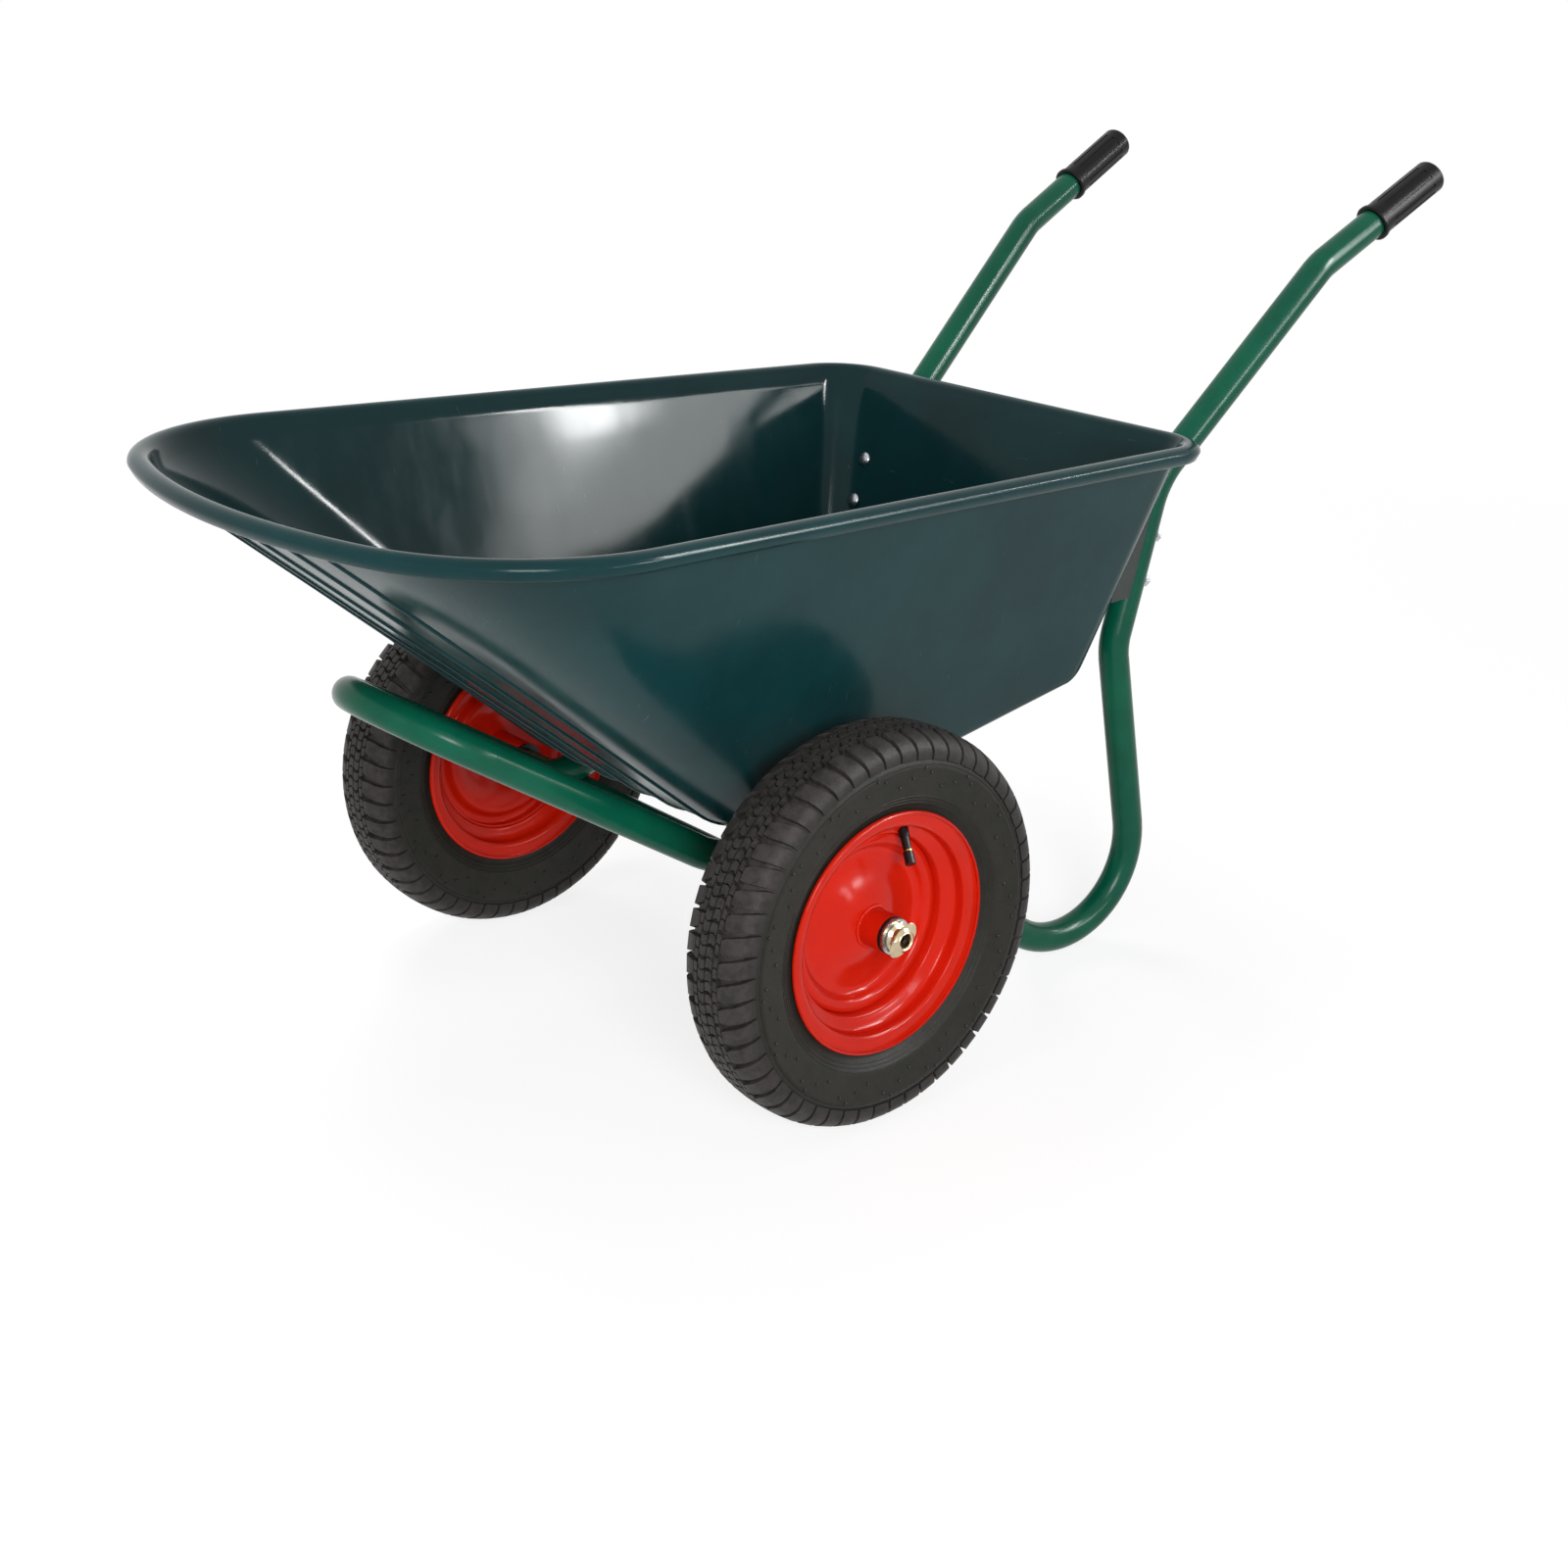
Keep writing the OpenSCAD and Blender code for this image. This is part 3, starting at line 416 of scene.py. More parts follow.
@dataclass(frozen=True)
class Surface:
    """The starting values of one finish.

    Args:
        name: the material's name, for what it is and how it was made.
        colour: its main colour as sRGB hex.
        second: a second colour that wanders over the first.
        wander_mm: the size of the colour's patches.
        wander: how far the second colour shows.
        roughness: the mean roughness.
        rough_spread: how far the roughness wanders to each side.
        grain_mm: the size of the surface's grain.
        grain: the height of that grain as a bump strength.
        metallic: one for bare metal.
        coat: the weight of a clear gloss skin.
        coat_roughness: the roughness of that skin.
        ior: the index of refraction of a non-metal.
        specular: the shader's specular level for a non-metal.
    """

    name: str
    colour: str
    second: str
    wander_mm: float
    wander: float
    roughness: float
    rough_spread: float
    grain_mm: float
    grain: float
    metallic: float = 0.0
    coat: float = 0.0
    coat_roughness: float = 0.08
    ior: float = 1.5
    specular: float = 0.5

    def build(self) -> Material:
        """Builds the node material.

        Returns:
            The material.
        """
        material = bpy.data.materials.new(self.name)
        tree = cleared(material)
        where = add(tree, "ShaderNodeTexCoord").outputs["Object"]
        patches = add(tree, "ShaderNodeTexNoise", {"Scale": 1 / (self.wander_mm * MM),
                                                   "Detail": 5.0, "Roughness": FINER_SHARE},
                      {"Vector": where}).outputs["Fac"]
        share = add(tree, "ShaderNodeMapRange",
                    {"From Min": PATCH_RANGE[0], "From Max": PATCH_RANGE[1],
                     "To Max": self.wander},
                    {"Value": patches}).outputs["Result"]
        plain = add(tree, "ShaderNodeMix", {"data_type": "RGBA", 6: linear(self.colour),
                                            7: linear(self.second)}, {0: share}).outputs[2]
        rough = add(tree, "ShaderNodeMapRange",
                    {"To Min": max(0.02, self.roughness - self.rough_spread),
                     "To Max": self.roughness + self.rough_spread},
                    {"Value": self.smears(tree, where)}).outputs["Result"]
        bump = add(tree, "ShaderNodeBump", {"Strength": self.grain, "Distance": GRAIN_DEPTH},
                   {"Height": self.relief(tree, where)}).outputs["Normal"]
        shader = add(tree, "ShaderNodeBsdfPrincipled",
                     {"Metallic": self.metallic, "Coat Weight": self.coat,
                      "Coat Roughness": self.coat_roughness},
                     {"Base Color": self.tinted(tree, where, plain), "Roughness": rough,
                      "Normal": bump})
        if not self.metallic:
            shader.inputs["IOR"].default_value = self.ior
            shader.inputs["Specular IOR Level"].default_value = self.specular
        add(tree, "ShaderNodeOutputMaterial", {}, {"Surface": shader.outputs["BSDF"]})
        return material

    def smears(self, tree: Tree, where: Socket) -> Socket:
        """Draws the pattern along which the roughness wanders.

        Args:
            tree: the material's tree.
            where: the object coordinates.

        Returns:
            The socket that carries the pattern.
        """
        return add(tree, "ShaderNodeTexNoise", {"Scale": SMEAR_RATIO / (self.wander_mm * MM),
                                                "Detail": 3.0, "Roughness": FINER_SHARE},
                   {"Vector": where}).outputs["Fac"]

    def relief(self, tree: Tree, where: Socket) -> Socket:
        """Draws the height of the surface's grain.

        Args:
            tree: the material's tree.
            where: the object coordinates.

        Returns:
            The socket that carries the pattern.
        """
        return add(tree, "ShaderNodeTexNoise", {"Scale": 1 / (self.grain_mm * MM),
                                                "Detail": 2.0, "Roughness": FINER_SHARE},
                   {"Vector": where}).outputs["Fac"]

    def tinted(self, tree: Tree, where: Socket, colour: Socket) -> Socket:
        """Returns the colour with any marks of wear or painted shade; the plain finish has none."""
        return colour


@dataclass(frozen=True)
class MouldedTub(Surface):
    """Injection-moulded polypropylene: soft gloss, slow waves in the wall, and pale scuffs.

    The inner skin lay against the polished core of the mould, so it is glossier. It is also painted darker all
    over, as painted shade inside the tub.
    """

    wave_mm: float = 90.0
    wave_height: float = 14.0
    rub_scale: Point = (30.0, 30.0, 4.0)
    scuff: str = "8FA3A2"
    scuff_turn: Point = (0.4, 0.9, 0.3)
    scuff_scale: Point = (260.0, 22.0, 30.0)
    scuff_range: Pair = (0.66, 0.82)
    scuff_share: float = 0.35
    # Painted shade: the darker colour mixed into the inner skin, and how far it shows
    inner_colour: str = "0A1B1D"
    inner_share: float = 0.4
    inner_gloss: float = -0.42
    middle: Point = (0.0, 0.0, 0.46)

    def inside(self, tree: Tree, where: Socket) -> Socket:
        """Tells the skin that looks at the tub's middle from the one that looks away.

        Args:
            tree: the material's tree.
            where: the object coordinates.

        Returns:
            The socket that is one on the inner skin.
        """
        facing = add(tree, "ShaderNodeTexCoord").outputs["Normal"]
        out = add(tree, "ShaderNodeVectorMath", {"operation": "SUBTRACT", 1: self.middle},
                  {0: where}).outputs[0]
        away = add(tree, "ShaderNodeVectorMath", {"operation": "DOT_PRODUCT"},
                   {0: out, 1: facing}).outputs["Value"]
        return add(tree, "ShaderNodeMapRange", {"From Min": 0.01, "From Max": -0.02},
                   {"Value": away}).outputs["Result"]

    def relief(self, tree: Tree, where: Socket) -> Socket:
        """Adds the slow waves of a cooled moulding to its fine grain.

        Args:
            tree: the material's tree.
            where: the object coordinates.

        Returns:
            The socket that carries the height.
        """
        waves = add(tree, "ShaderNodeTexNoise", {"Scale": 1 / (self.wave_mm * MM),
                                                 "Detail": 1.0, "Roughness": FINER_SHARE},
                    {"Vector": where}).outputs["Fac"]
        tall = add(tree, "ShaderNodeMath", {"operation": "MULTIPLY", 1: self.wave_height},
                   {0: waves})
        return add(tree, "ShaderNodeMath", {"operation": "ADD"},
                   {0: tall.outputs[0], 1: super().relief(tree, where)}).outputs[0]

    def smears(self, tree: Tree, where: Socket) -> Socket:
        """Draws the roughness down the walls, as loads rub them.

        Args:
            tree: the material's tree.
            where: the object coordinates.

        Returns:
            The socket that carries the pattern.
        """
        drawn = add(tree, "ShaderNodeMapping", {"Scale": self.rub_scale},
                    {"Vector": where}).outputs["Vector"]
        rubbed = add(tree, "ShaderNodeTexNoise", {"Scale": 1.0, "Detail": 6.0, "Roughness": 0.65},
                     {"Vector": drawn}).outputs["Fac"]
        return add(tree, "ShaderNodeMath", {"operation": "MULTIPLY_ADD", 1: self.inner_gloss},
                   {0: self.inside(tree, where), 2: rubbed}).outputs[0]

    def tinted(self, tree: Tree, where: Socket, colour: Socket) -> Socket:
        """Darkens the inner skin with painted shade and adds the thin pale scuffs that handling leaves.

        Args:
            tree: the material's tree.
            where: the object coordinates.
            colour: the unworn colour.

        Returns:
            The socket that carries the worn colour, with the painted shade on the inner skin.
        """
        squeezed = add(tree, "ShaderNodeMapping",
                       {"Rotation": self.scuff_turn, "Scale": self.scuff_scale},
                       {"Vector": where}).outputs["Vector"]
        lines = add(tree, "ShaderNodeTexNoise", {"Scale": 1.0, "Detail": 6.0, "Roughness": 0.7},
                    {"Vector": squeezed}).outputs["Fac"]
        share = add(tree, "ShaderNodeMapRange",
                    {"From Min": self.scuff_range[0], "From Max": self.scuff_range[1],
                     "To Max": self.scuff_share},
                    {"Value": lines}).outputs["Result"]
        # Painted shade: the inner skin is mixed part of the way towards a darker colour
        inner = add(tree, "ShaderNodeMath", {"operation": "MULTIPLY", 1: self.inner_share},
                    {0: self.inside(tree, where)}).outputs[0]
        skin = add(tree, "ShaderNodeMix",
                   {"data_type": "RGBA", 7: linear(self.inner_colour)},
                   {0: inner, 6: colour}).outputs[2]
        return add(tree, "ShaderNodeMix", {"data_type": "RGBA", 7: linear(self.scuff)},
                   {0: share, 6: skin}).outputs[2]


@dataclass(frozen=True)
class TyreRubber(Surface):
    """Vulcanised rubber: clean greenish-black walls and a tread that has picked up dust."""

    dust: str = "454040"
    dust_from_mm: float = 160.0
    dust_to_mm: float = 178.0
    dust_share: float = 0.85
    cling_mm: float = 9.0
    cling_range: Pair = (0.38, 0.60)
    cling_least: float = 0.35

    def tinted(self, tree: Tree, where: Socket, colour: Socket) -> Socket:
        """Greys the rubber in patches from the shoulder outwards.

        Args:
            tree: the material's tree.
            where: the object coordinates.
            colour: the clean colour.

        Returns:
            The socket that carries the dusty colour.
        """
        hub = hub_centre(Side.LEFT)
        flat = add(tree, "ShaderNodeVectorMath", {"operation": "MULTIPLY", 1: (1, 0, 1)},
                   {0: where}).outputs[0]
        reach = add(tree, "ShaderNodeVectorMath", {"operation": "DISTANCE", 1: (hub.x, 0, hub.z)},
                    {0: flat}).outputs["Value"]
        share = add(tree, "ShaderNodeMapRange",
                    {"From Min": self.dust_from_mm * MM, "From Max": self.dust_to_mm * MM,
                     "To Max": self.dust_share}, {"Value": reach}).outputs["Result"]
        spots = add(tree, "ShaderNodeTexNoise", {"Scale": 1 / (self.cling_mm * MM),
                                                 "Detail": 4.0, "Roughness": FINER_SHARE},
                    {"Vector": where}).outputs["Fac"]
        cling = add(tree, "ShaderNodeMapRange",
                    {"From Min": self.cling_range[0], "From Max": self.cling_range[1],
                     "To Min": self.cling_least},
                    {"Value": spots}).outputs["Result"]
        settled = add(tree, "ShaderNodeMath", {"operation": "MULTIPLY"}, {0: share, 1: cling})
        return add(tree, "ShaderNodeMix", {"data_type": "RGBA", 7: linear(self.dust)},
                   {0: settled.outputs[0], 6: colour}).outputs[2]


# Soft-gloss plastic: broad blurred highlights over a deep blue-green
TUB_PLASTIC = MouldedTub("moulded_polypropylene", "143F42", "0F2D30", 160.0, 0.75,
                         0.19, 0.10, 2.4, 0.035, ior=1.49, specular=0.13)
# Powder coat: a thick even skin with a faint orange peel and a soft highlight
FRAME_COAT = Surface("powder_coated_tube_steel", "0A6148", "084A39", 60.0, 0.6,
                     0.23, 0.04, 5.0, 0.012, specular=0.17)
# Stoved enamel on pressed steel: bright, wet gloss with a little orange peel
WHEEL_ENAMEL = Surface("stoved_enamel_pressed_steel", "DD240E", "C61C0B", 55.0, 0.5,
                       0.19, 0.04, 3.0, 0.04, coat=0.05, specular=0.13)
# Vulcanised carbon-black rubber: a dry sheen, with dusty patches on the tread
TYRE_RUBBER = TyreRubber("vulcanised_tyre_rubber", "23241F", "2E2B27", 16.0, 0.9,
                         0.50, 0.10, 1.7, 0.55, ior=1.52, specular=0.14)
# Butyl rubber: dull and even black, hidden inside the carcass
BUTYL = Surface("butyl_inner_tube", "1C1C1C", "262626", 20.0, 0.5, 0.6, 0.05, 0.8, 0.2)
# Soft vinyl sleeve: smooth black with a satin sheen
GRIP_VINYL = Surface("dip_moulded_vinyl_grip", "0C0C0D", "151515", 18.0, 0.6,
                     0.32, 0.05, 0.9, 0.03, specular=0.16)
# Unpainted recycled plastic: flat dark grey
SPACER_PLASTIC = Surface("moulded_spacer_plastic", "343C3A", "293130", 20.0, 0.6,
                         0.50, 0.07, 0.8, 0.25, specular=0.3)
# Nitrile rubber lip: near black
SEAL_RUBBER = Surface("nitrile_seal_rubber", "0B0B0B", "131313", 10.0, 0.5,
                      0.45, 0.06, 0.7, 0.2, specular=0.3)
# Snap-in valve: black rubber over a brass core
VALVE_RUBBER = Surface("valve_stem_rubber", "0D0D0D", "161616", 8.0, 0.5,
                       0.38, 0.06, 0.6, 0.2, specular=0.3)
# Hard moulded nylon: black with a small soft highlight
CAP_PLASTIC = Surface("moulded_valve_cap", "0E0E0E", "161616", 6.0, 0.5,
                      0.34, 0.05, 0.5, 0.2, specular=0.3)
# Clear-passivated zinc: cool grey, slightly cloudy
ZINC_PLATE = Surface("zinc_plated_steel", "BFC3C8", "9DA2A9", 5.0, 0.7,
                     0.28, 0.09, 0.5, 0.12, metallic=1.0)
# Yellow-passivated zinc: pale gold that drifts towards rose
YELLOW_ZINC = Surface("yellow_passivated_zinc", "CDBF93", "B9A39B", 7.0, 0.8,
                      0.22, 0.07, 0.5, 0.1, metallic=1.0)
# Ground ball-bearing steel: bright with little colour
BEARING_STEEL = Surface("ground_bearing_steel", "C2C4C8", "AFB1B6", 6.0, 0.5,
                        0.18, 0.05, 0.4, 0.06, metallic=1.0)
# Oiled turned steel: dark, with a dull shine
OILED_STEEL = Surface("oiled_turned_steel", "2B2926", "1F1D1B", 4.0, 0.6,
                      0.42, 0.08, 0.5, 0.15, metallic=1.0)
# Turned brass, seen as one ring on the valve
TURNED_BRASS = Surface("turned_brass", "D9B25A", "B98D3B", 5.0, 0.5,
                       0.25, 0.05, 0.4, 0.08, metallic=1.0)

FINISHES: dict[Slot, Surface] = {
    Slot.TUB: TUB_PLASTIC,
    Slot.FRAME: FRAME_COAT,
    Slot.GRIP: GRIP_VINYL,
    Slot.SPACER: SPACER_PLASTIC,
    Slot.TYRE: TYRE_RUBBER,
    Slot.INNER_TUBE: BUTYL,
    Slot.WHEEL: WHEEL_ENAMEL,
    Slot.SEAL: SEAL_RUBBER,
    Slot.VALVE: VALVE_RUBBER,
    Slot.CAP: CAP_PLASTIC,
    Slot.YELLOW_ZINC: YELLOW_ZINC,
    Slot.BEARING: BEARING_STEEL,
    Slot.ZINC: ZINC_PLATE,
}


@dataclass
class Paintshop:
    """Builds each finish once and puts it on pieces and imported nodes."""

    made: dict[str, Material] = field(default_factory=dict)

    def material(self, surface: Surface) -> Material:
        """Builds the material of a finish the first time, and keeps it.

        Args:
            surface: the finish.

        Returns:
            Its material.
        """
        if surface.name not in self.made:
            self.made[surface.name] = surface.build()
        return self.made[surface.name]

    def dress_nodes(self) -> None:
        """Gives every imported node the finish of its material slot."""
        for entry in frame["record"]["subparts"]:
            node = frame["nodes"][entry["node"]]
            finish = FINISHES[Slot(entry["material_slot"])]
            if entry["node"].endswith("_spindle"):
                finish = OILED_STEEL
            material = self.material(finish)
            if not node.data.materials:
                node.data.materials.append(material)
            for i in range(len(node.data.materials)):
                node.data.materials[i] = material

    def piece(self, mesh: Mesh, surface: Surface, slot: Slot, body: str,
              recipe: NodeRecipe | None = None) -> Object:
        """Makes a piece of a mesh, paints it and makes it ride on its body.

        Args:
            mesh: the piece's mesh, or the base mesh of its recipe.
            surface: its finish.
            slot: the record's slot that the finish comes from; not used.
            body: the body that it moves with.
            recipe: the node tree that repeats the mesh or follows it, if any.

        Returns:
            The finished piece.
        """
        obj = new_object(mesh.name, mesh)
        if recipe:
            recipe.run(obj, self.material(surface))
        obj.data.materials.clear()
        obj.data.materials.append(self.material(surface))
        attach(obj, body)
        LOG.info("%s: %d faces, rides on %s", obj.name, len(obj.data.polygons), body)
        return obj


# ----------------------------------------------------------------------- tub


@dataclass(frozen=True)
class Outline:
    """A tapered outline with round corners and a bowed front, in millimetres from the axle."""

    front: float
    rear: float
    front_half: float
    rear_half: float
    front_radius: float
    rear_radius: float
    bow: float
    steps: tuple[int, int, int, int, int] = (12, 26, 14, 14, 8)

    def whole(self, inset: float) -> list[Row]:
        """Walks once round the outline, shrunk by the inset.

        Args:
            inset: how far the outline shrinks.

        Returns:
            Rows of x, y and the outward direction.
        """
        slant = math.atan2(self.front_half - self.rear_half, self.front + self.rear)
        out = Vector((-math.sin(slant), math.cos(slant)))
        ahead = Vector((math.cos(slant), math.sin(slant)))
        middle = Vector((self.front - self.bow, 0.0))
        big = self.bow - inset
        near, far = self.front_radius - inset, self.rear_radius - inset
        # The front corner touches the side and the bow from within
        start = Vector((-self.rear, self.rear_half)) - out * (inset + near) - middle
        way = -start.dot(ahead) + math.sqrt(start.dot(ahead) ** 2 - start.dot(start)
                                            + (big - near) ** 2)
        front = start + ahead * way + middle
        # The rear corner touches the side and the straight back
        tuck = inset + far
        rear = Vector((-self.rear + tuck,
                       self.rear_half - (tuck - tuck * math.sin(slant)) / math.cos(slant)))
        bow, corner, side, turn, back = self.steps
        meet, quarter = math.atan2(front.y, front.x - middle.x), math.pi / 2 + slant
        half = self.arc(middle, big, 0.0, meet, bow)
        half += self.arc(front, near, meet, quarter, corner)
        for i in range(side):
            q = (front + out * near).lerp(rear + out * far, i / side)
            half.append((q.x, q.y, out.x, out.y))
        half += self.arc(rear, far, quarter, math.pi, turn)
        half += [(rear.x - far, rear.y * (1 - i / back), -1.0, 0.0) for i in range(back + 1)]
        return half + [(x, -y, nx, -ny) for x, y, nx, ny in reversed(half[1:-1])]

    @staticmethod
    def arc(centre: Vector, radius: float, first: float, last: float, steps: int) -> list[Row]:
        """Walks along an arc and stops one step before its end.

        Args:
            centre: the arc's centre.
            radius: its radius.
            first: the angle at its start in radians.
            last: the angle at its end.
            steps: the number of steps.

        Returns:
            Rows of x, y and the outward direction.
        """
        turns = [mix(first, last, i / steps) for i in range(steps)]
        return [(centre.x + radius * math.cos(a), centre.y + radius * math.sin(a),
                 math.cos(a), math.sin(a)) for a in turns]


@dataclass
class Tub:
    """The moulded tub: one shell from the inner floor over the rolled rim to the outer floor."""

    axle: Vector
    floor: Outline = Outline(30, 402, 168, 202, 60, 34, 3000)
    rim: Outline = Outline(461, 484, 322, 262, 182, 50, 620)
    rim_height: float = 588.0
    rim_rise: float = 0.065
    frame_slope: float = 0.185
    frame_drop: float = 45.856
    wall: float = 3.6
    bead_width: float = 18.0
    bead_depth: float = 17.0
    skirt_lean: float = 3.0
    flare: float = 9.0
    flare_depth: float = 14.0
    front_sweep: float = 50.0
    side_sweep: float = 13.0
    rear_sweep: float = 28.0
    foot_steps: int = 9
    wall_steps: int = 8
    flare_steps: int = 6
    roll_end: int = 160
    rib_pitch: float = 50.5
    rib_radius: float = 1.9
    rib_places: tuple[float, ...] = (-2.5, -1.5, -0.5, 0.5, 1.5, 2.5)
    rib_stops: tuple[float, ...] = (-383.0, -260.0, -130.0, -45.0)
    cross_ribs: tuple[float, ...] = (-383.0, -357.0)
    brace: Pair = (-132.0, -44.0)

    def crest(self, x: float) -> float:
        """Returns the height of the rim's crest above the floor."""
        return self.rim_height + self.rim_rise * x

    def base(self, x: float) -> float:
        """Returns the height of the tub's outer floor."""
        return self.axle.z / MM + self.frame_drop - self.frame_slope * x

    def sweep(self, nx: float) -> float:
        """Finds how far the rounding out of the floor reaches.

        Args:
            nx: the lengthwise part of the outline's outward direction.

        Returns:
            The reach in millimetres.
        """
        ahead, behind = max(0.0, nx) ** 1.5, max(0.0, -nx) ** 1.5
        return (self.side_sweep + (self.front_sweep - self.side_sweep) * ahead
                + (self.rear_sweep - self.side_sweep) * behind)

    def ring(self, out: float, drop: float) -> list[Vector]:
        """Returns a ring round the rim, some way out from the wall and below the crest."""
        return [Vector((x, y, self.crest(x) - drop)) for x, y, _, _ in self.rim.whole(-out)]

    def arch(self, angle: float, width: float, height: float) -> list[Vector]:
        """Makes one ring of the arch of the rolled rim over the wall's edge.

        Args:
            angle: the place on the arch in degrees, from outside over the top.
            width: half the arch's width.
            height: its height.

        Returns:
            The ring.
        """
        centre = self.bead_width - (self.bead_width + self.wall) / 2
        a = math.radians(angle)
        return self.ring(centre + width * math.cos(a), self.bead_width / 2 - height * math.sin(a))

    def skin(self, inset: float, top: list[Vector]) -> list[list[Vector]]:
        """Builds one skin from the floor up through the flare under the rim.

        Args:
            inset: the depth of the skin inside the wall.
            top: the ring that the flare leads to.

        Returns:
            The rings from the floor upwards.
        """
        low, high = self.floor.whole(inset), self.rim.whole(inset)
        lift = inset * math.hypot(1, self.frame_slope)
        foot = [Vector((x, y, self.base(x) + lift)) for x, y, _, _ in low]
        head = [Vector((x - nx * self.flare, y - ny * self.flare,
                        self.crest(x) - self.bead_width / 2 - self.flare_depth))
                for x, y, nx, ny in high]
        reach = [self.sweep(nx) - inset / 2 for _, _, nx, _ in low]
        start = [Vector((x - nx * s, y - ny * s, self.base(x - nx * s) + lift))
                 for (x, y, nx, ny), s in zip(low, reach)]
        stop = [f + (h - f).normalized() * s for f, h, s in zip(foot, head, reach)]
        bend = [h + (h - s).normalized() * self.flare for h, s in zip(head, stop)]
        rings = curved(start, foot, stop,
                       [i / self.foot_steps for i in range(self.foot_steps + 1)])
        rings += [[a.lerp(b, i / self.wall_steps) for a, b in zip(stop, head)]
                  for i in range(1, self.wall_steps + 1)]
        return rings + curved(head, bend, top,
                              [i / self.flare_steps for i in range(1, self.flare_steps)])

    def shell(self) -> Mesh:
        """Lofts the whole shell.

        Returns:
            The closed mesh, in metres.
        """
        width, height = (self.bead_width + self.wall) / 2, self.bead_width / 2
        over = [self.arch(a, width, height) for a in range(self.roll_end, -1, -10)]
        under = [self.arch(a, width - self.wall, height - self.wall)
                 for a in range(0, self.roll_end + 1, 10)]
        skirt = self.bead_width - self.skirt_lean
        edge = [self.ring(skirt - 0.6, self.bead_depth - 0.7),
                self.ring(skirt - 1.6, self.bead_depth),
                self.ring(skirt - self.wall + 0.6, self.bead_depth)]
        outer = self.skin(0.0, under[-1])
        rings = self.skin(self.wall, over[0]) + over + edge + under + outer[::-1]
        count = len(rings[0])
        verts = [self.placed(p) for ring in rings for p in ring]
        floors = [tuple(range(count)), tuple(range((len(rings) - 1) * count, len(rings) * count))]
        return mesh_from("tub_shell", verts, floors + bands(len(rings), count, False), sharp=50)

    def placed(self, point: Vector) -> Point:
        """Turns a point in millimetres from the axle into its place in metres."""
        return tuple(point * MM + Vector((self.axle.x, 0, 0)))

    def crossing(self, ring: list[Vector], y: float) -> Vector:
        """Returns where a ring crosses a lengthwise line ahead of the middle.

        Args:
            ring: the ring of points.
            y: the distance of the line from the centre line.

        Returns:
            The point where they cross.
        """
        for a, b in zip(ring, ring[1:]):
            if a.y <= abs(y) < b.y:
                hit = a.lerp(b, (abs(y) - a.y) / (b.y - a.y))
                return Vector((hit.x, y, hit.z))
        raise ValueError("the line misses the ring")

    def rib_paths(self) -> list[list[Point]]:
        """Lays out the stiffening ribs under the floor and up the front wall.

        Returns:
            One path for each rib, in metres.
        """
        outer = self.skin(0.0, self.arch(self.roll_end, 1.0, 1.0))
        wall = outer[:self.foot_steps + 1 + self.wall_steps]
        flat = [[(x, place * self.rib_pitch) for x in self.rib_stops]
                for place in self.rib_places]
        rises = [[self.crossing(r, place * self.rib_pitch) for r in wall]
                 for place in self.rib_places]
        edge, lean = self.rib_places[-1] * self.rib_pitch, self.rib_pitch / 2
        flat += [[(x, y) for y in (-edge, 0, edge)] for x in self.cross_ribs]
        flat += [[(self.brace[0], s * lean), (self.brace[1], -s * lean)] for s in (-1, 1)]
        paths = [[Vector((x, y, self.base(x))) for x, y in line] for line in flat]
        for path, rise in zip(paths, rises):
            path += rise
        return [[self.placed(p) for p in path] for path in paths]

    def build(self, shop: Paintshop) -> None:
        """Makes the shell and its ribs.

        Args:
            shop: the paintshop that finishes them.
        """
        plastic = (TUB_PLASTIC, Slot.TUB, "frame")
        shell = shop.piece(self.shell(), *plastic)
        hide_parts("tray")
        radius = (("Radius", "NodeSocketFloat", self.rib_radius * MM),)
        shop.piece(polylines("tub_ribs", self.rib_paths()), *plastic,
                   NodeRecipe("moulded_ribs", radius, wire_rod))


# -------------------------------------------------------------------- wheels


class Side(Enum):
    """The two wheels, by the sign of their place along Y."""

    LEFT = 1
    RIGHT = -1

    @property
    def word(self) -> str:
        """Returns the side's name in lower case."""
        return self.name.lower()


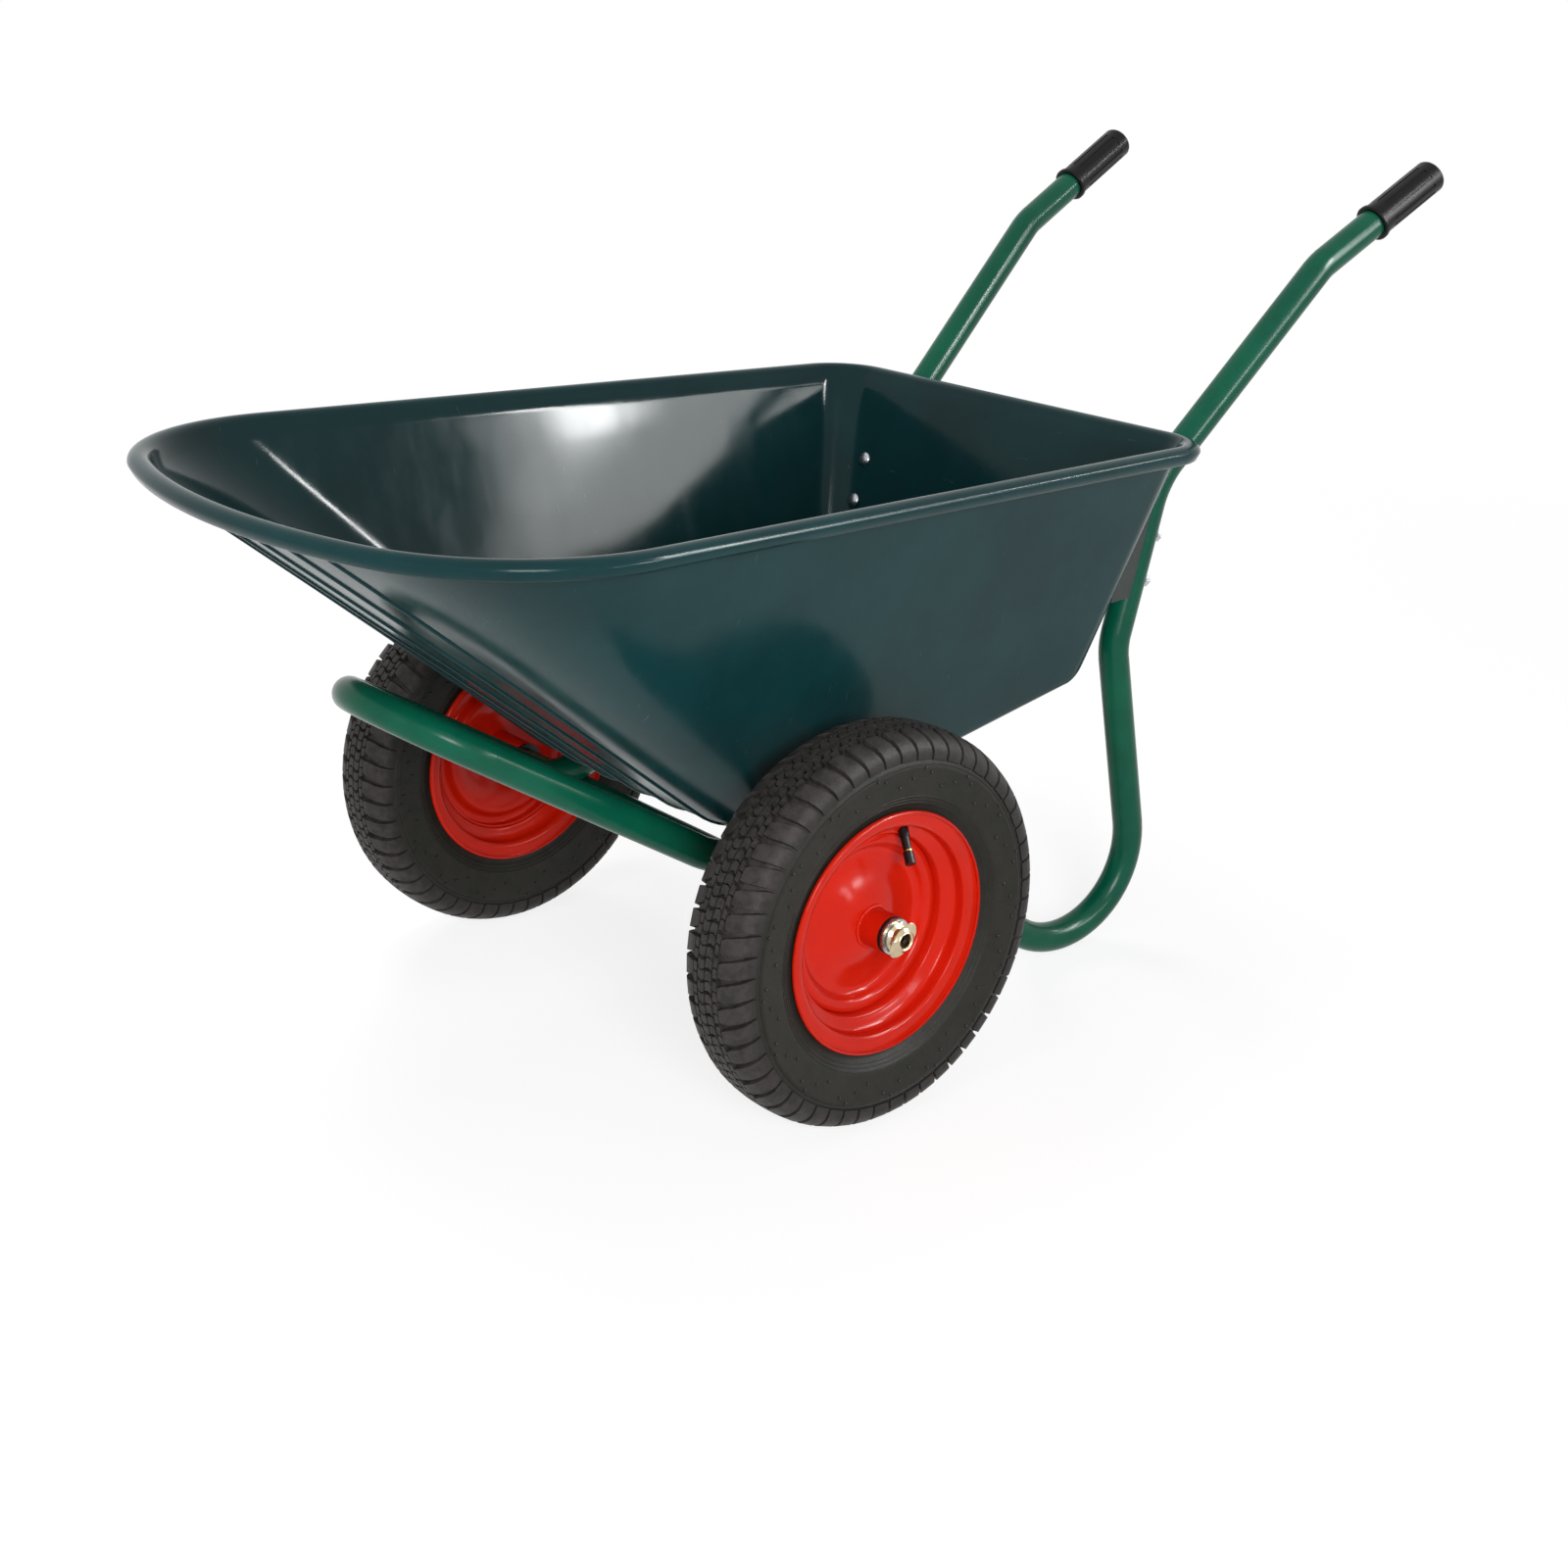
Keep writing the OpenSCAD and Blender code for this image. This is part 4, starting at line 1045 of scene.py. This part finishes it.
@dataclass
class Wheel:
    """One wheel: pressed rim and disc, tyre with its tread, lock nut, weld and brass ring."""

    side: Side
    centre: Vector
    tyre_r: float = 191.0
    tyre_half: float = 41.0
    flange_r: float = 116.5
    half_rim: float = 34.5
    sheet: float = 1.8
    seat_drop: float = 15.5
    well_drop: float = 28.0
    tread_depth: float = 5.0
    shoulder_r: float = 165.0
    wall_rings: tuple[float, ...] = (131.0, 127.5, 124.0)
    ring_height: float = 0.7
    ring_foot: float = 0.9
    ring_top: float = 0.4
    lugs: int = 54
    lug_root: float = 1.5
    lug_spread: float = 0.9
    nib_groups: int = 17
    nib_sides: int = 6
    nut_bore: float = 6.6
    wing_turn: float = -0.66
    tab_turn: float = -1.05
    weld_at: Pair = (19.2, 10.2)
    weld_pitch: float = 2.2
    weld_radius: float = 2.1
    valve_ring_back: float = 6.2
    segments: int = 160

    def local(self, r: float, y: float, angle: float = 0.0) -> Point:
        """Turns a radius, a place along the axle and an angle into a point about the hub.

        Args:
            r: the radius in millimetres.
            y: the distance outwards from the wheel's middle in millimetres.
            angle: the angle about the axle in radians.

        Returns:
            The point in metres.
        """
        return (r * math.cos(angle) * MM, y * self.side.value * MM, r * math.sin(angle) * MM)

    def spun(self, name: str, profile: Callable[[float], Sequence[Pair]],
             sharp: float = 32.0) -> Mesh:
        """Turns a closed profile, which may change with the angle, round the axle.

        Args:
            name: the mesh's name.
            profile: gives rows of radius and place along the axle at an angle in radians.
            sharp: the angle past which an edge stays sharp.

        Returns:
            The mesh in its place.
        """
        verts: list[Vector] = []
        for a in (math.tau * s / self.segments for s in range(self.segments)):
            verts += [Vector(self.local(r, y, a)) + self.centre for r, y in profile(a)]
        faces = bands(self.segments, len(verts) // self.segments)
        return mesh_from(name, verts, faces, sharp)

    def pressed(self, word: str, path: Sequence[Pair]) -> Mesh:
        """Builds a pressed piece by giving a drawn sheet its thickness.

        Args:
            word: what the piece is, for the mesh's name.
            path: the middle of the sheet, as radius and place along the axle.

        Returns:
            The mesh in its place.
        """
        line = rounded(path, 5)
        one: list[Pair] = []
        two: list[Pair] = []
        for i, (r, y) in enumerate(line):
            a, b = line[max(i - 1, 0)], line[min(i + 1, len(line) - 1)]
            d = Vector((b[0] - a[0], b[1] - a[1])).normalized() * (self.sheet / 2)
            one.append((r - d.y, y + d.x))
            two.append((r + d.y, y - d.x))
        sheet = one + two[::-1]
        return self.spun(f"{self.side.word}_pressed_{word}", lambda _: sheet)

    def rim_path(self) -> list[Pair]:
        """Draws the middle of the drop-centre rim's sheet.

        Returns:
            The line from flange to flange.
        """
        f, h = self.flange_r, self.half_rim
        seat, well = f - self.seat_drop, f - self.well_drop
        half = [(f - 3.2, h - 0.6), (f - 1.2, h - 1.6), (f - 0.9, h - 3.6), (f - 4, h - 5.2),
                (f - 11, h - 5.8), (seat + 1, h - 7.4), (seat, h - 9.4), (seat - 0.8, h - 19),
                (well + 3, 10), (well, 7)]
        return half + [(r, -y) for r, y in reversed(half)]

    def disc_path(self) -> list[Pair]:
        """Draws the middle of the dished disc's sheet.

        Returns:
            The line from the rim's well to the hub.
        """
        edge = self.flange_r - self.well_drop - self.sheet - 0.3
        return [(edge, -8), (edge, -0.8), (edge - 1.8, 1.6), (edge - 7, 2.4), (edge - 10.5, 0.4),
                (edge - 14, -5), (edge - 18, -7.4), (edge - 25, -6.6), (50, -2.6), (38, 3), (27, 7),
                (18.3, 9)]

    def envelope(self) -> list[Pair]:
        """Draws the tyre's outer line on its outer half.

        Returns:
            The line from the crown to the bead.
        """
        toe = self.half_rim - 5.8 - self.sheet / 2 - 0.6
        wide = self.tyre_r - 32
        line: list[Pair] = []
        for i in range(16):
            a = math.radians(i * 5)
            line.append((mix(wide, self.tyre_r, math.cos(a) ** 0.55),
                         self.tyre_half * math.sin(a) ** 0.85))
        for i in range(13):
            a = math.radians(i * 6)
            line.append((mix(self.flange_r + 4, wide, math.cos(a)),
                         mix(toe + 6, self.tyre_half, math.cos(a) ** 0.9)))
        return line + [(self.flange_r + 2, toe + 2), (self.flange_r - 5, toe)]

    def carcass(self) -> Mesh:
        """Builds the tyre's body: low under the tread, with moulded rings on its walls.

        Returns:
            The mesh in its place.
        """
        line = self.envelope()
        half: list[Pair] = []
        for i, (r, y) in enumerate(line):
            under = self.tread_depth * min(1.0, max(-0.03, (r - self.shoulder_r) / 12))
            if i < len(line) - 1:
                d = (Vector(line[i + 1]) - Vector((r, y))).normalized()
            half.append((r - under * abs(d.y), y - under * abs(d.x)))
        half = self.with_ring(half, self.shoulder_r - 3, -self.ring_height)
        for radius in self.wall_rings:
            half = self.with_ring(half, radius, self.ring_height)
        seat = self.flange_r - self.seat_drop + self.sheet / 2 + 0.3
        toe = half[-1][1]
        inner = [(self.flange_r - 11, toe), (seat, toe - 4.5), (seat, toe - 12),
                 (seat + 6, toe - 12)]
        dome = [(mix(seat + 8, self.tyre_r - 12, math.sin(math.radians(a))),
                 (self.tyre_half - 8) * math.cos(math.radians(a)) if a > 20 else toe - 7)
                for a in (12, 30, 50, 70, 90)]
        outer_half = half + inner + dome
        profile = outer_half + [(r, -y) for r, y in reversed(outer_half[1:-1])]
        return self.spun(f"{self.side.word}_tyre_carcass", lambda _: profile, sharp=38)

    def with_ring(self, line: list[Pair], radius: float, height: float) -> list[Pair]:
        """Draws a thin moulded ring on the side wall.

        Args:
            line: the wall's line from the crown down.
            radius: the ring's radius.
            height: how far it stands out; a negative height cuts it in.

        Returns:
            The line with the ring.
        """
        foot, top = self.ring_foot, self.ring_top
        bead = [(radius + foot, 0.0), (radius + top, height), (radius - top, height),
                (radius - foot, 0.0)]
        for i, ((r0, y0), (r1, y1)) in enumerate(zip(line, line[1:])):
            if r0 > radius + foot and r1 < radius - foot:
                ring = [(r, mix(y0, y1, (r0 - r) / (r0 - r1)) + lift) for r, lift in bead]
                return line[:i + 1] + ring + line[i + 1:]
        return line

    def along(self, s: float) -> tuple[Pair, Pair]:
        """Returns the point a given distance down the tyre's outer line, and the way in.

        Args:
            s: the distance from the crown in millimetres.

        Returns:
            The point and the inward direction.
        """
        line = self.envelope()
        gone = 0.0
        for a, b in zip(line, line[1:]):
            run = math.dist(a, b)
            if gone + run >= s:
                t = (s - gone) / run
                d = ((b[0] - a[0]) / run, (b[1] - a[1]) / run)
                return (mix(a[0], b[0], t), mix(a[1], b[1], t)), (-d[1], d[0])
            gone += run
        raise ValueError("past the bead")

    def block(self, stations: Sequence[Row], mirror: int, turn: float) -> Part:
        """Builds one rubber block that follows the tyre's outer line.

        Args:
            stations: rows of distance from the crown, half width, sideways shift and height.
            mirror: one for the outer half of the tread, minus one for the inner half.
            turn: the block's place round the tyre in radians.

        Returns:
            The points about the hub and the faces.
        """
        verts: list[Point] = []
        for s, half, shift, height in stations:
            (r, y), (nr, ny) = self.along(abs(s))
            y, ny = math.copysign(y, s) * mirror, ny * mirror
            for depth, grow in ((self.tread_depth - height, 0.0),
                                (self.tread_depth + self.lug_root, self.lug_spread)):
                for w in (-1, 1):
                    a = turn + (shift * mirror + w * (half + grow)) / r
                    verts.append(self.local(r - abs(nr) * depth,
                                            y - math.copysign(abs(ny), y) * depth, a))
        faces: list[Face] = [(0, 1, 3, 2)]
        for k in range(len(stations) - 1):
            b = 4 * k
            faces += [(b, b + 4, b + 5, b + 1), (b + 1, b + 5, b + 7, b + 3),
                      (b + 3, b + 7, b + 6, b + 2), (b + 2, b + 6, b + 4, b)]
        b = 4 * (len(stations) - 1)
        faces.append((b, b + 2, b + 3, b + 1))
        return verts, faces

    def tread_pitch(self) -> Mesh:
        """Builds the blocks of one pitch of the tread, about the hub.

        Returns:
            The mesh of one pitch.
        """
        h = self.tread_depth
        lug = [(16.4, 5.6, -1.4, h), (19.0, 6.8, -1.0, h + 0.3), (22.0, 7.5, -0.2, h + 0.3),
               (27.0, 7.9, 0.8, h), (32.0, 8.1, 2.2, h), (38.0, 8.3, 3.6, h), (43.0, 8.5, 4.6, h),
               (47.0, 8.6, 5.2, h), (51.0, 8.6, 5.4, h - 0.1), (54.0, 8.4, 5.4, h - 0.4)]
        tooth = [(10.6, 4.0, 0.0, h), (12.4, 4.4, 0.6, h), (15.4, 3.8, -0.4, h)]
        chevron = [(0.9, 4.1, 0.0, h), (3.2, 4.2, 1.6, h), (6.4, 4.2, 1.6, h), (9.0, 3.9, -0.4, h)]
        pitch = math.tau / self.lugs
        rows = [(lug, 1, 0.0), (lug, -1, 0.5)]
        for stations, shifts, left, right in ((tooth, (-0.05, 0.45), 0.21, 0.25),
                                              (chevron, (0.25, 0.75), 0.24, 0.22)):
            rows += [(stations, m, place) for m, shift in zip((1, -1), shifts)
                     for place in (shift - left, shift + right)]
        parts = [self.block(stations, m, place * pitch) for stations, m, place in rows]
        return mesh_from(f"{self.side.word}_tyre_tread", *joined(parts), sharp=25)

    def nib_group(self) -> Mesh:
        """Builds a few moulding nibs for each side wall, about the hub.

        Returns:
            The mesh of one group.
        """
        sides = self.nib_sides
        faces = bands(3, sides, False) + [tuple(range(sides)), tuple(range(2 * sides, 3 * sides))]
        parts: list[Part] = []
        for s, turn in ((66.0, 0.0), (78.0, 0.13), (71.0, 0.23), (61.5, 0.31)):
            (r, y), _ = self.along(s)
            for m in (1, -1):
                parts.append(([self.local(r + radius * math.cos(a), (y + height) * m,
                                          turn + radius * math.sin(a) / r)
                               for height, radius in ((-0.4, 1.7), (1.0, 1.4), (1.5, 0.8))
                               for a in (math.tau * k / sides for k in range(sides))], faces))
        return mesh_from(f"{self.side.word}_tyre_nibs", *joined(parts), sharp=50)

    def lock_nut(self) -> Mesh:
        """Builds the lock nut: a tabbed flange, an open collar and two broad wings.

        Returns:
            The mesh in its place.
        """
        low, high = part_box(f"{self.side.word}_axle_nut")
        inner, outer = sorted((abs(v) - abs(self.centre.y)) / MM for v in (low.y, high.y))
        bore = self.nut_bore
        # Radius, what the flange's tabs add, what the wings add, and the place along the axle
        rows = [(bore, 0, 0, inner), (12.2, 0, 0, inner), (13.0, 2.2, 0, inner + 0.8),
                (13.0, 2.2, 0, inner + 2.2), (11.6, 0.4, 0, inner + 3.4), (10.6, 0, 0, inner + 4.4),
                (10.4, 0, 1.0, outer - 6.2), (11.0, 0, 6.6, outer - 5.4),
                (11.4, 0, 7.2, outer - 4.4), (11.0, 0, 6.4, outer - 3.2),
                (10.2, 0, 1.4, outer - 2.4), (9.6, 0, 0, outer - 1.2), (9.0, 0, 0, outer - 0.3),
                (8.4, 0, 0, outer), (7.6, 0, 0, outer - 0.3), (bore + 0.2, 0, 0, outer - 1.4),
                (bore, 0, 0, outer - 2.4)]

        def profile(a: float) -> list[Pair]:
            """Draws the nut's line at one angle, with its tabs and wings.

            Args:
                a: the angle in radians.

            Returns:
                The line.
            """
            tab = max(0.0, math.cos(2 * (a - self.tab_turn))) ** 14
            wing = abs(math.cos(a - self.wing_turn)) ** 4
            return [(r + t * tab + w * wing, y) for r, t, w, y in rows]
        return self.spun(f"{self.side.word}_lock_nut", profile, sharp=40)

    def hub_weld(self) -> Mesh:
        """Draws the ring along which the disc is welded to the hub tube.

        Returns:
            The mesh of edges in its place.
        """
        ring = [tuple(Vector(self.local(*self.weld_at, math.tau * i / 48)) + self.centre)
                for i in range(48)]
        return polylines(f"{self.side.word}_hub_weld", [ring], closed=True)

    def valve_ring(self) -> Mesh:
        """Makes the brass ring between the valve's rubber and its cap.

        Returns:
            The mesh in its place.
        """
        low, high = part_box(f"{self.side.word}_valve_cap")
        stem_low, stem_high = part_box(f"{self.side.word}_valve_stem")
        cap = (low + high) / 2
        axis = (cap - (stem_low + stem_high) / 2).normalized()
        base = cap - axis * (self.valve_ring_back * MM)
        turn = axis.to_track_quat("Z", "Y").to_matrix()
        verts = [base + turn @ Vector((r * math.cos(a), r * math.sin(a), z)) * MM
                 for z, r in ((-1.1, 2.8), (-1.1, 4.4), (0.4, 4.4), (0.4, 2.8))
                 for a in (math.tau * k / 28 for k in range(28))]
        return mesh_from(f"{self.side.word}_valve_ring", verts, bands(4, 28), sharp=30)

    def build(self, shop: Paintshop) -> None:
        """Makes the wheel's pieces and finishes them.

        Args:
            shop: the paintshop that finishes them.
        """
        word = self.side.word
        body = f"{word}_wheel"
        enamel, rubber = (WHEEL_ENAMEL, Slot.WHEEL, body), (TYRE_RUBBER, Slot.TYRE, body)
        rim = shop.piece(self.pressed("rim", self.rim_path()), *enamel)
        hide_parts(f"{word}_rim")
        disc = shop.piece(self.pressed("disc", self.disc_path()), *enamel)
        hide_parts(f"{word}_wheel_disc")
        carcass = shop.piece(self.carcass(), *rubber)
        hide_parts(f"{word}_tyre")
        # The nibs wear near-black seal rubber, darker than the tyre's own rubber, as painted shade
        for name, mesh, count, surface in (
                ("tread_round_tyre", self.tread_pitch(), self.lugs, TYRE_RUBBER),
                ("nibs_round_tyre", self.nib_group(), self.nib_groups, SEAL_RUBBER)):
            around = (("Count", "NodeSocketInt", count),
                      ("Centre", "NodeSocketVector", tuple(self.centre)))
            shop.piece(mesh, surface, Slot.TYRE, body, NodeRecipe(name, around, wire_ring))
        nut = shop.piece(self.lock_nut(), YELLOW_ZINC, Slot.YELLOW_ZINC, "frame")
        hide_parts(f"{word}_axle_nut")
        drops = (("Pitch", "NodeSocketFloat", self.weld_pitch * MM),
                 ("Radius", "NodeSocketFloat", self.weld_radius * MM))
        shop.piece(self.hub_weld(), *enamel, NodeRecipe("weld_round_hub", drops, wire_weld))
        shop.piece(self.valve_ring(), TURNED_BRASS, Slot.VALVE, body)


# -------------------------------------------------------------------- studio


class Serves(Enum):
    """What a lamp is for: both, the highlights alone, or the plain light alone."""

    ALL = "all"
    GLOSS = "gloss"
    SHADE = "shade"


@dataclass
class Studio:
    """A pale floor, soft lamps and the camera."""

    camera_at: Point = (1.521, 1.680, 1.117)
    heading: float = 49.93
    tilt: float = 18.70
    roll: float = -0.69
    lens: float = 52.7
    sensor: float = 36.0
    shift: Pair = (0.0244, -0.0963)
    ambient: float = 0.24
    floor_reach: float = 9.0
    floor_white_m: float = 2.4
    floor_grey: float = 0.34
    floor_glow: float = 0.80
    floor_bounce: float = 0.8

    def camera(self) -> None:
        """Places the camera ahead of the nose on the left, a little above the rim."""
        data = bpy.data.cameras.new("studio_camera")
        data.lens = self.lens
        data.sensor_width = self.sensor
        data.shift_x, data.shift_y = self.shift
        camera = bpy.data.objects.new("studio_camera", data)
        a, e = math.radians(self.heading), math.radians(self.tilt)
        ahead = Vector((-math.cos(a) * math.cos(e), -math.sin(a) * math.cos(e), -math.sin(e)))
        turn = ahead.to_track_quat("-Z", "Y").to_matrix()
        turn = turn @ Matrix.Rotation(math.radians(self.roll), 3, "Z")
        camera.matrix_world = Matrix.Translation(self.camera_at) @ turn.to_4x4()
        bpy.context.scene.collection.objects.link(camera)
        bpy.context.scene.camera = camera

    def lamp(self, name: str, at: Point, towards: Point, size: Pair, watts: float,
             serves: Serves = Serves.ALL) -> None:
        """Adds one flat soft lamp.

        Args:
            name: the lamp's name.
            at: its place in metres.
            towards: the point that it faces.
            size: its width and height in metres.
            watts: its power.
            serves: whether it gives shade, gloss or both.
        """
        data = bpy.data.lights.new(name, "AREA")
        data.shape = "RECTANGLE"
        data.size, data.size_y = size
        data.energy = watts
        lamp = bpy.data.objects.new(name, data)
        lamp.visible_camera = False
        lamp.visible_diffuse = serves is not Serves.GLOSS
        lamp.visible_glossy = serves is not Serves.SHADE
        lamp.location = at
        lamp.rotation_euler = (Vector(towards) - Vector(at)).to_track_quat("-Z", "Y").to_euler()
        bpy.context.scene.collection.objects.link(lamp)

    def seen(self, tree: Tree) -> Socket:
        """Returns a switch that is one for what the eye, gloss or glass sees directly.

        Args:
            tree: the tree that gets the switch.

        Returns:
            The switch's socket.
        """
        path = add(tree, "ShaderNodeLightPath").outputs
        eye = add(tree, "ShaderNodeMath", {"operation": "MAXIMUM"},
                  {0: path["Is Camera Ray"], 1: path["Is Glossy Ray"]}).outputs[0]
        return add(tree, "ShaderNodeMath", {"operation": "MAXIMUM"},
                   {0: eye, 1: path["Is Transmission Ray"]}).outputs[0]

    def sky(self) -> None:
        """Makes the surroundings white to the eye and a soft grey as light."""
        world = bpy.data.worlds.new("studio_world")
        bpy.context.scene.world = world
        tree = cleared(world)
        strength = add(tree, "ShaderNodeMapRange", {"To Min": self.ambient, "To Max": 1.0},
                       {"Value": self.seen(tree)}).outputs["Result"]
        light = add(tree, "ShaderNodeBackground", {"Color": (1, 1, 1, 1)}, {"Strength": strength})
        add(tree, "ShaderNodeOutputWorld", {}, {"Surface": light.outputs[0]})

    def ground(self) -> None:
        """Lays the pale floor, which keeps a faint shadow."""
        material = bpy.data.materials.new("pale_studio_floor")
        tree = cleared(material)
        seen = self.seen(tree)
        chalk = add(tree, "ShaderNodeBsdfDiffuse", {"Color": (*[self.floor_grey] * 3, 1)})
        glow = add(tree, "ShaderNodeEmission",
                   {"Color": (1, 1, 1, 1), "Strength": self.floor_glow})
        both = add(tree, "ShaderNodeAddShader", {}, {0: chalk.outputs[0], 1: glow.outputs[0]})
        where = add(tree, "ShaderNodeTexCoord").outputs["Object"]
        away = add(tree, "ShaderNodeVectorMath", {"operation": "LENGTH"}, {0: where})
        share = add(tree, "ShaderNodeMapRange",
                    {"From Min": self.floor_white_m / 3, "From Max": self.floor_white_m},
                    {"Value": away.outputs["Value"]}).outputs["Result"]
        white = add(tree, "ShaderNodeEmission", {"Color": (1, 1, 1, 1), "Strength": 1.0})
        shown = add(tree, "ShaderNodeMixShader", {},
                    {0: share, 1: both.outputs[0], 2: white.outputs[0]})
        plain = add(tree, "ShaderNodeBsdfDiffuse", {"Color": (*[self.floor_bounce] * 3, 1)})
        mixed = add(tree, "ShaderNodeMixShader", {},
                    {0: seen, 1: plain.outputs[0], 2: shown.outputs[0]})
        add(tree, "ShaderNodeOutputMaterial", {}, {"Surface": mixed.outputs[0]})
        mesh = bpy.data.meshes.new("floor")
        corners = [(x * self.floor_reach, y * self.floor_reach, 0)
                   for x, y in ((-1, -1), (1, -1), (1, 1), (-1, 1))]
        mesh.from_pydata(corners, [], [(0, 1, 2, 3)])
        mesh.materials.append(material)
        new_object("floor", mesh)

    def build(self) -> None:
        """Sets up the studio and its plain colour handling."""
        bpy.context.scene.view_settings.view_transform = "Standard"
        self.camera()
        self.sky()
        self.ground()
        wall, wheel = (0.05, -0.26, 0.53), (0.2, 0.3, 0.2)
        self.lamp("key", (1.8, 3.1, 1.6), (0.1, 0.1, 0.35), (1.1, 1.1), 76.0)
        self.lamp("top", (0.4, -0.9, 3.0), (0.1, 0.0, 0.4), (1.2, 1.2), 18.0, Serves.SHADE)
        self.lamp("fill", (-1.0, -2.6, 1.8), (0.1, 0.0, 0.35), (1.2, 0.8), 22.0, Serves.SHADE)
        self.lamp("front", (3.2, 0.4, 1.6), (0.3, 0.0, 0.3), (1.0, 1.0), 14.0, Serves.SHADE)
        self.lamp("low", (-0.75, 2.15, 0.97), (0.4, 0.1, 0.35), (0.5, 0.22), 12.0, Serves.GLOSS)
        self.lamp("window", (-1.34, 1.69, 1.14), wall, (0.52, 0.56), 15.0, Serves.GLOSS)
        self.lamp("pane", (-0.98, 1.70, 1.14), wall, (0.09, 0.56), 3.0, Serves.GLOSS)
        self.lamp("strip", (-1.02, 1.48, 1.40), wall, (0.14, 0.60), 24.0, Serves.GLOSS)
        self.lamp("ledge", (-2.05, 1.35, 1.42), wall, (0.60, 0.10), 10.0, Serves.GLOSS)
        self.lamp("side", (-0.35, 3.0, 0.80), wheel, (0.24, 0.34), 4.5, Serves.GLOSS)


def hub_centre(side: Side) -> Vector:
    """Returns the middle of a wheel, which its joint states."""
    name = f"{side.word}_wheel_spin"
    return Vector(next(j["pos_m"] for j in frame["joints"] if j["name"] == name))


def main() -> None:
    """Dresses the wheelbarrow piece by piece."""
    logging.basicConfig(level=logging.INFO, format="%(name)s: %(message)s")
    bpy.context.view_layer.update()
    Studio().build()
    shop = Paintshop()
    shop.dress_nodes()
    Tub(hub_centre(Side.LEFT)).build(shop)
    for side in Side:
        Wheel(side, hub_centre(side)).build(shop)


if __name__ == "__main__":
    main()
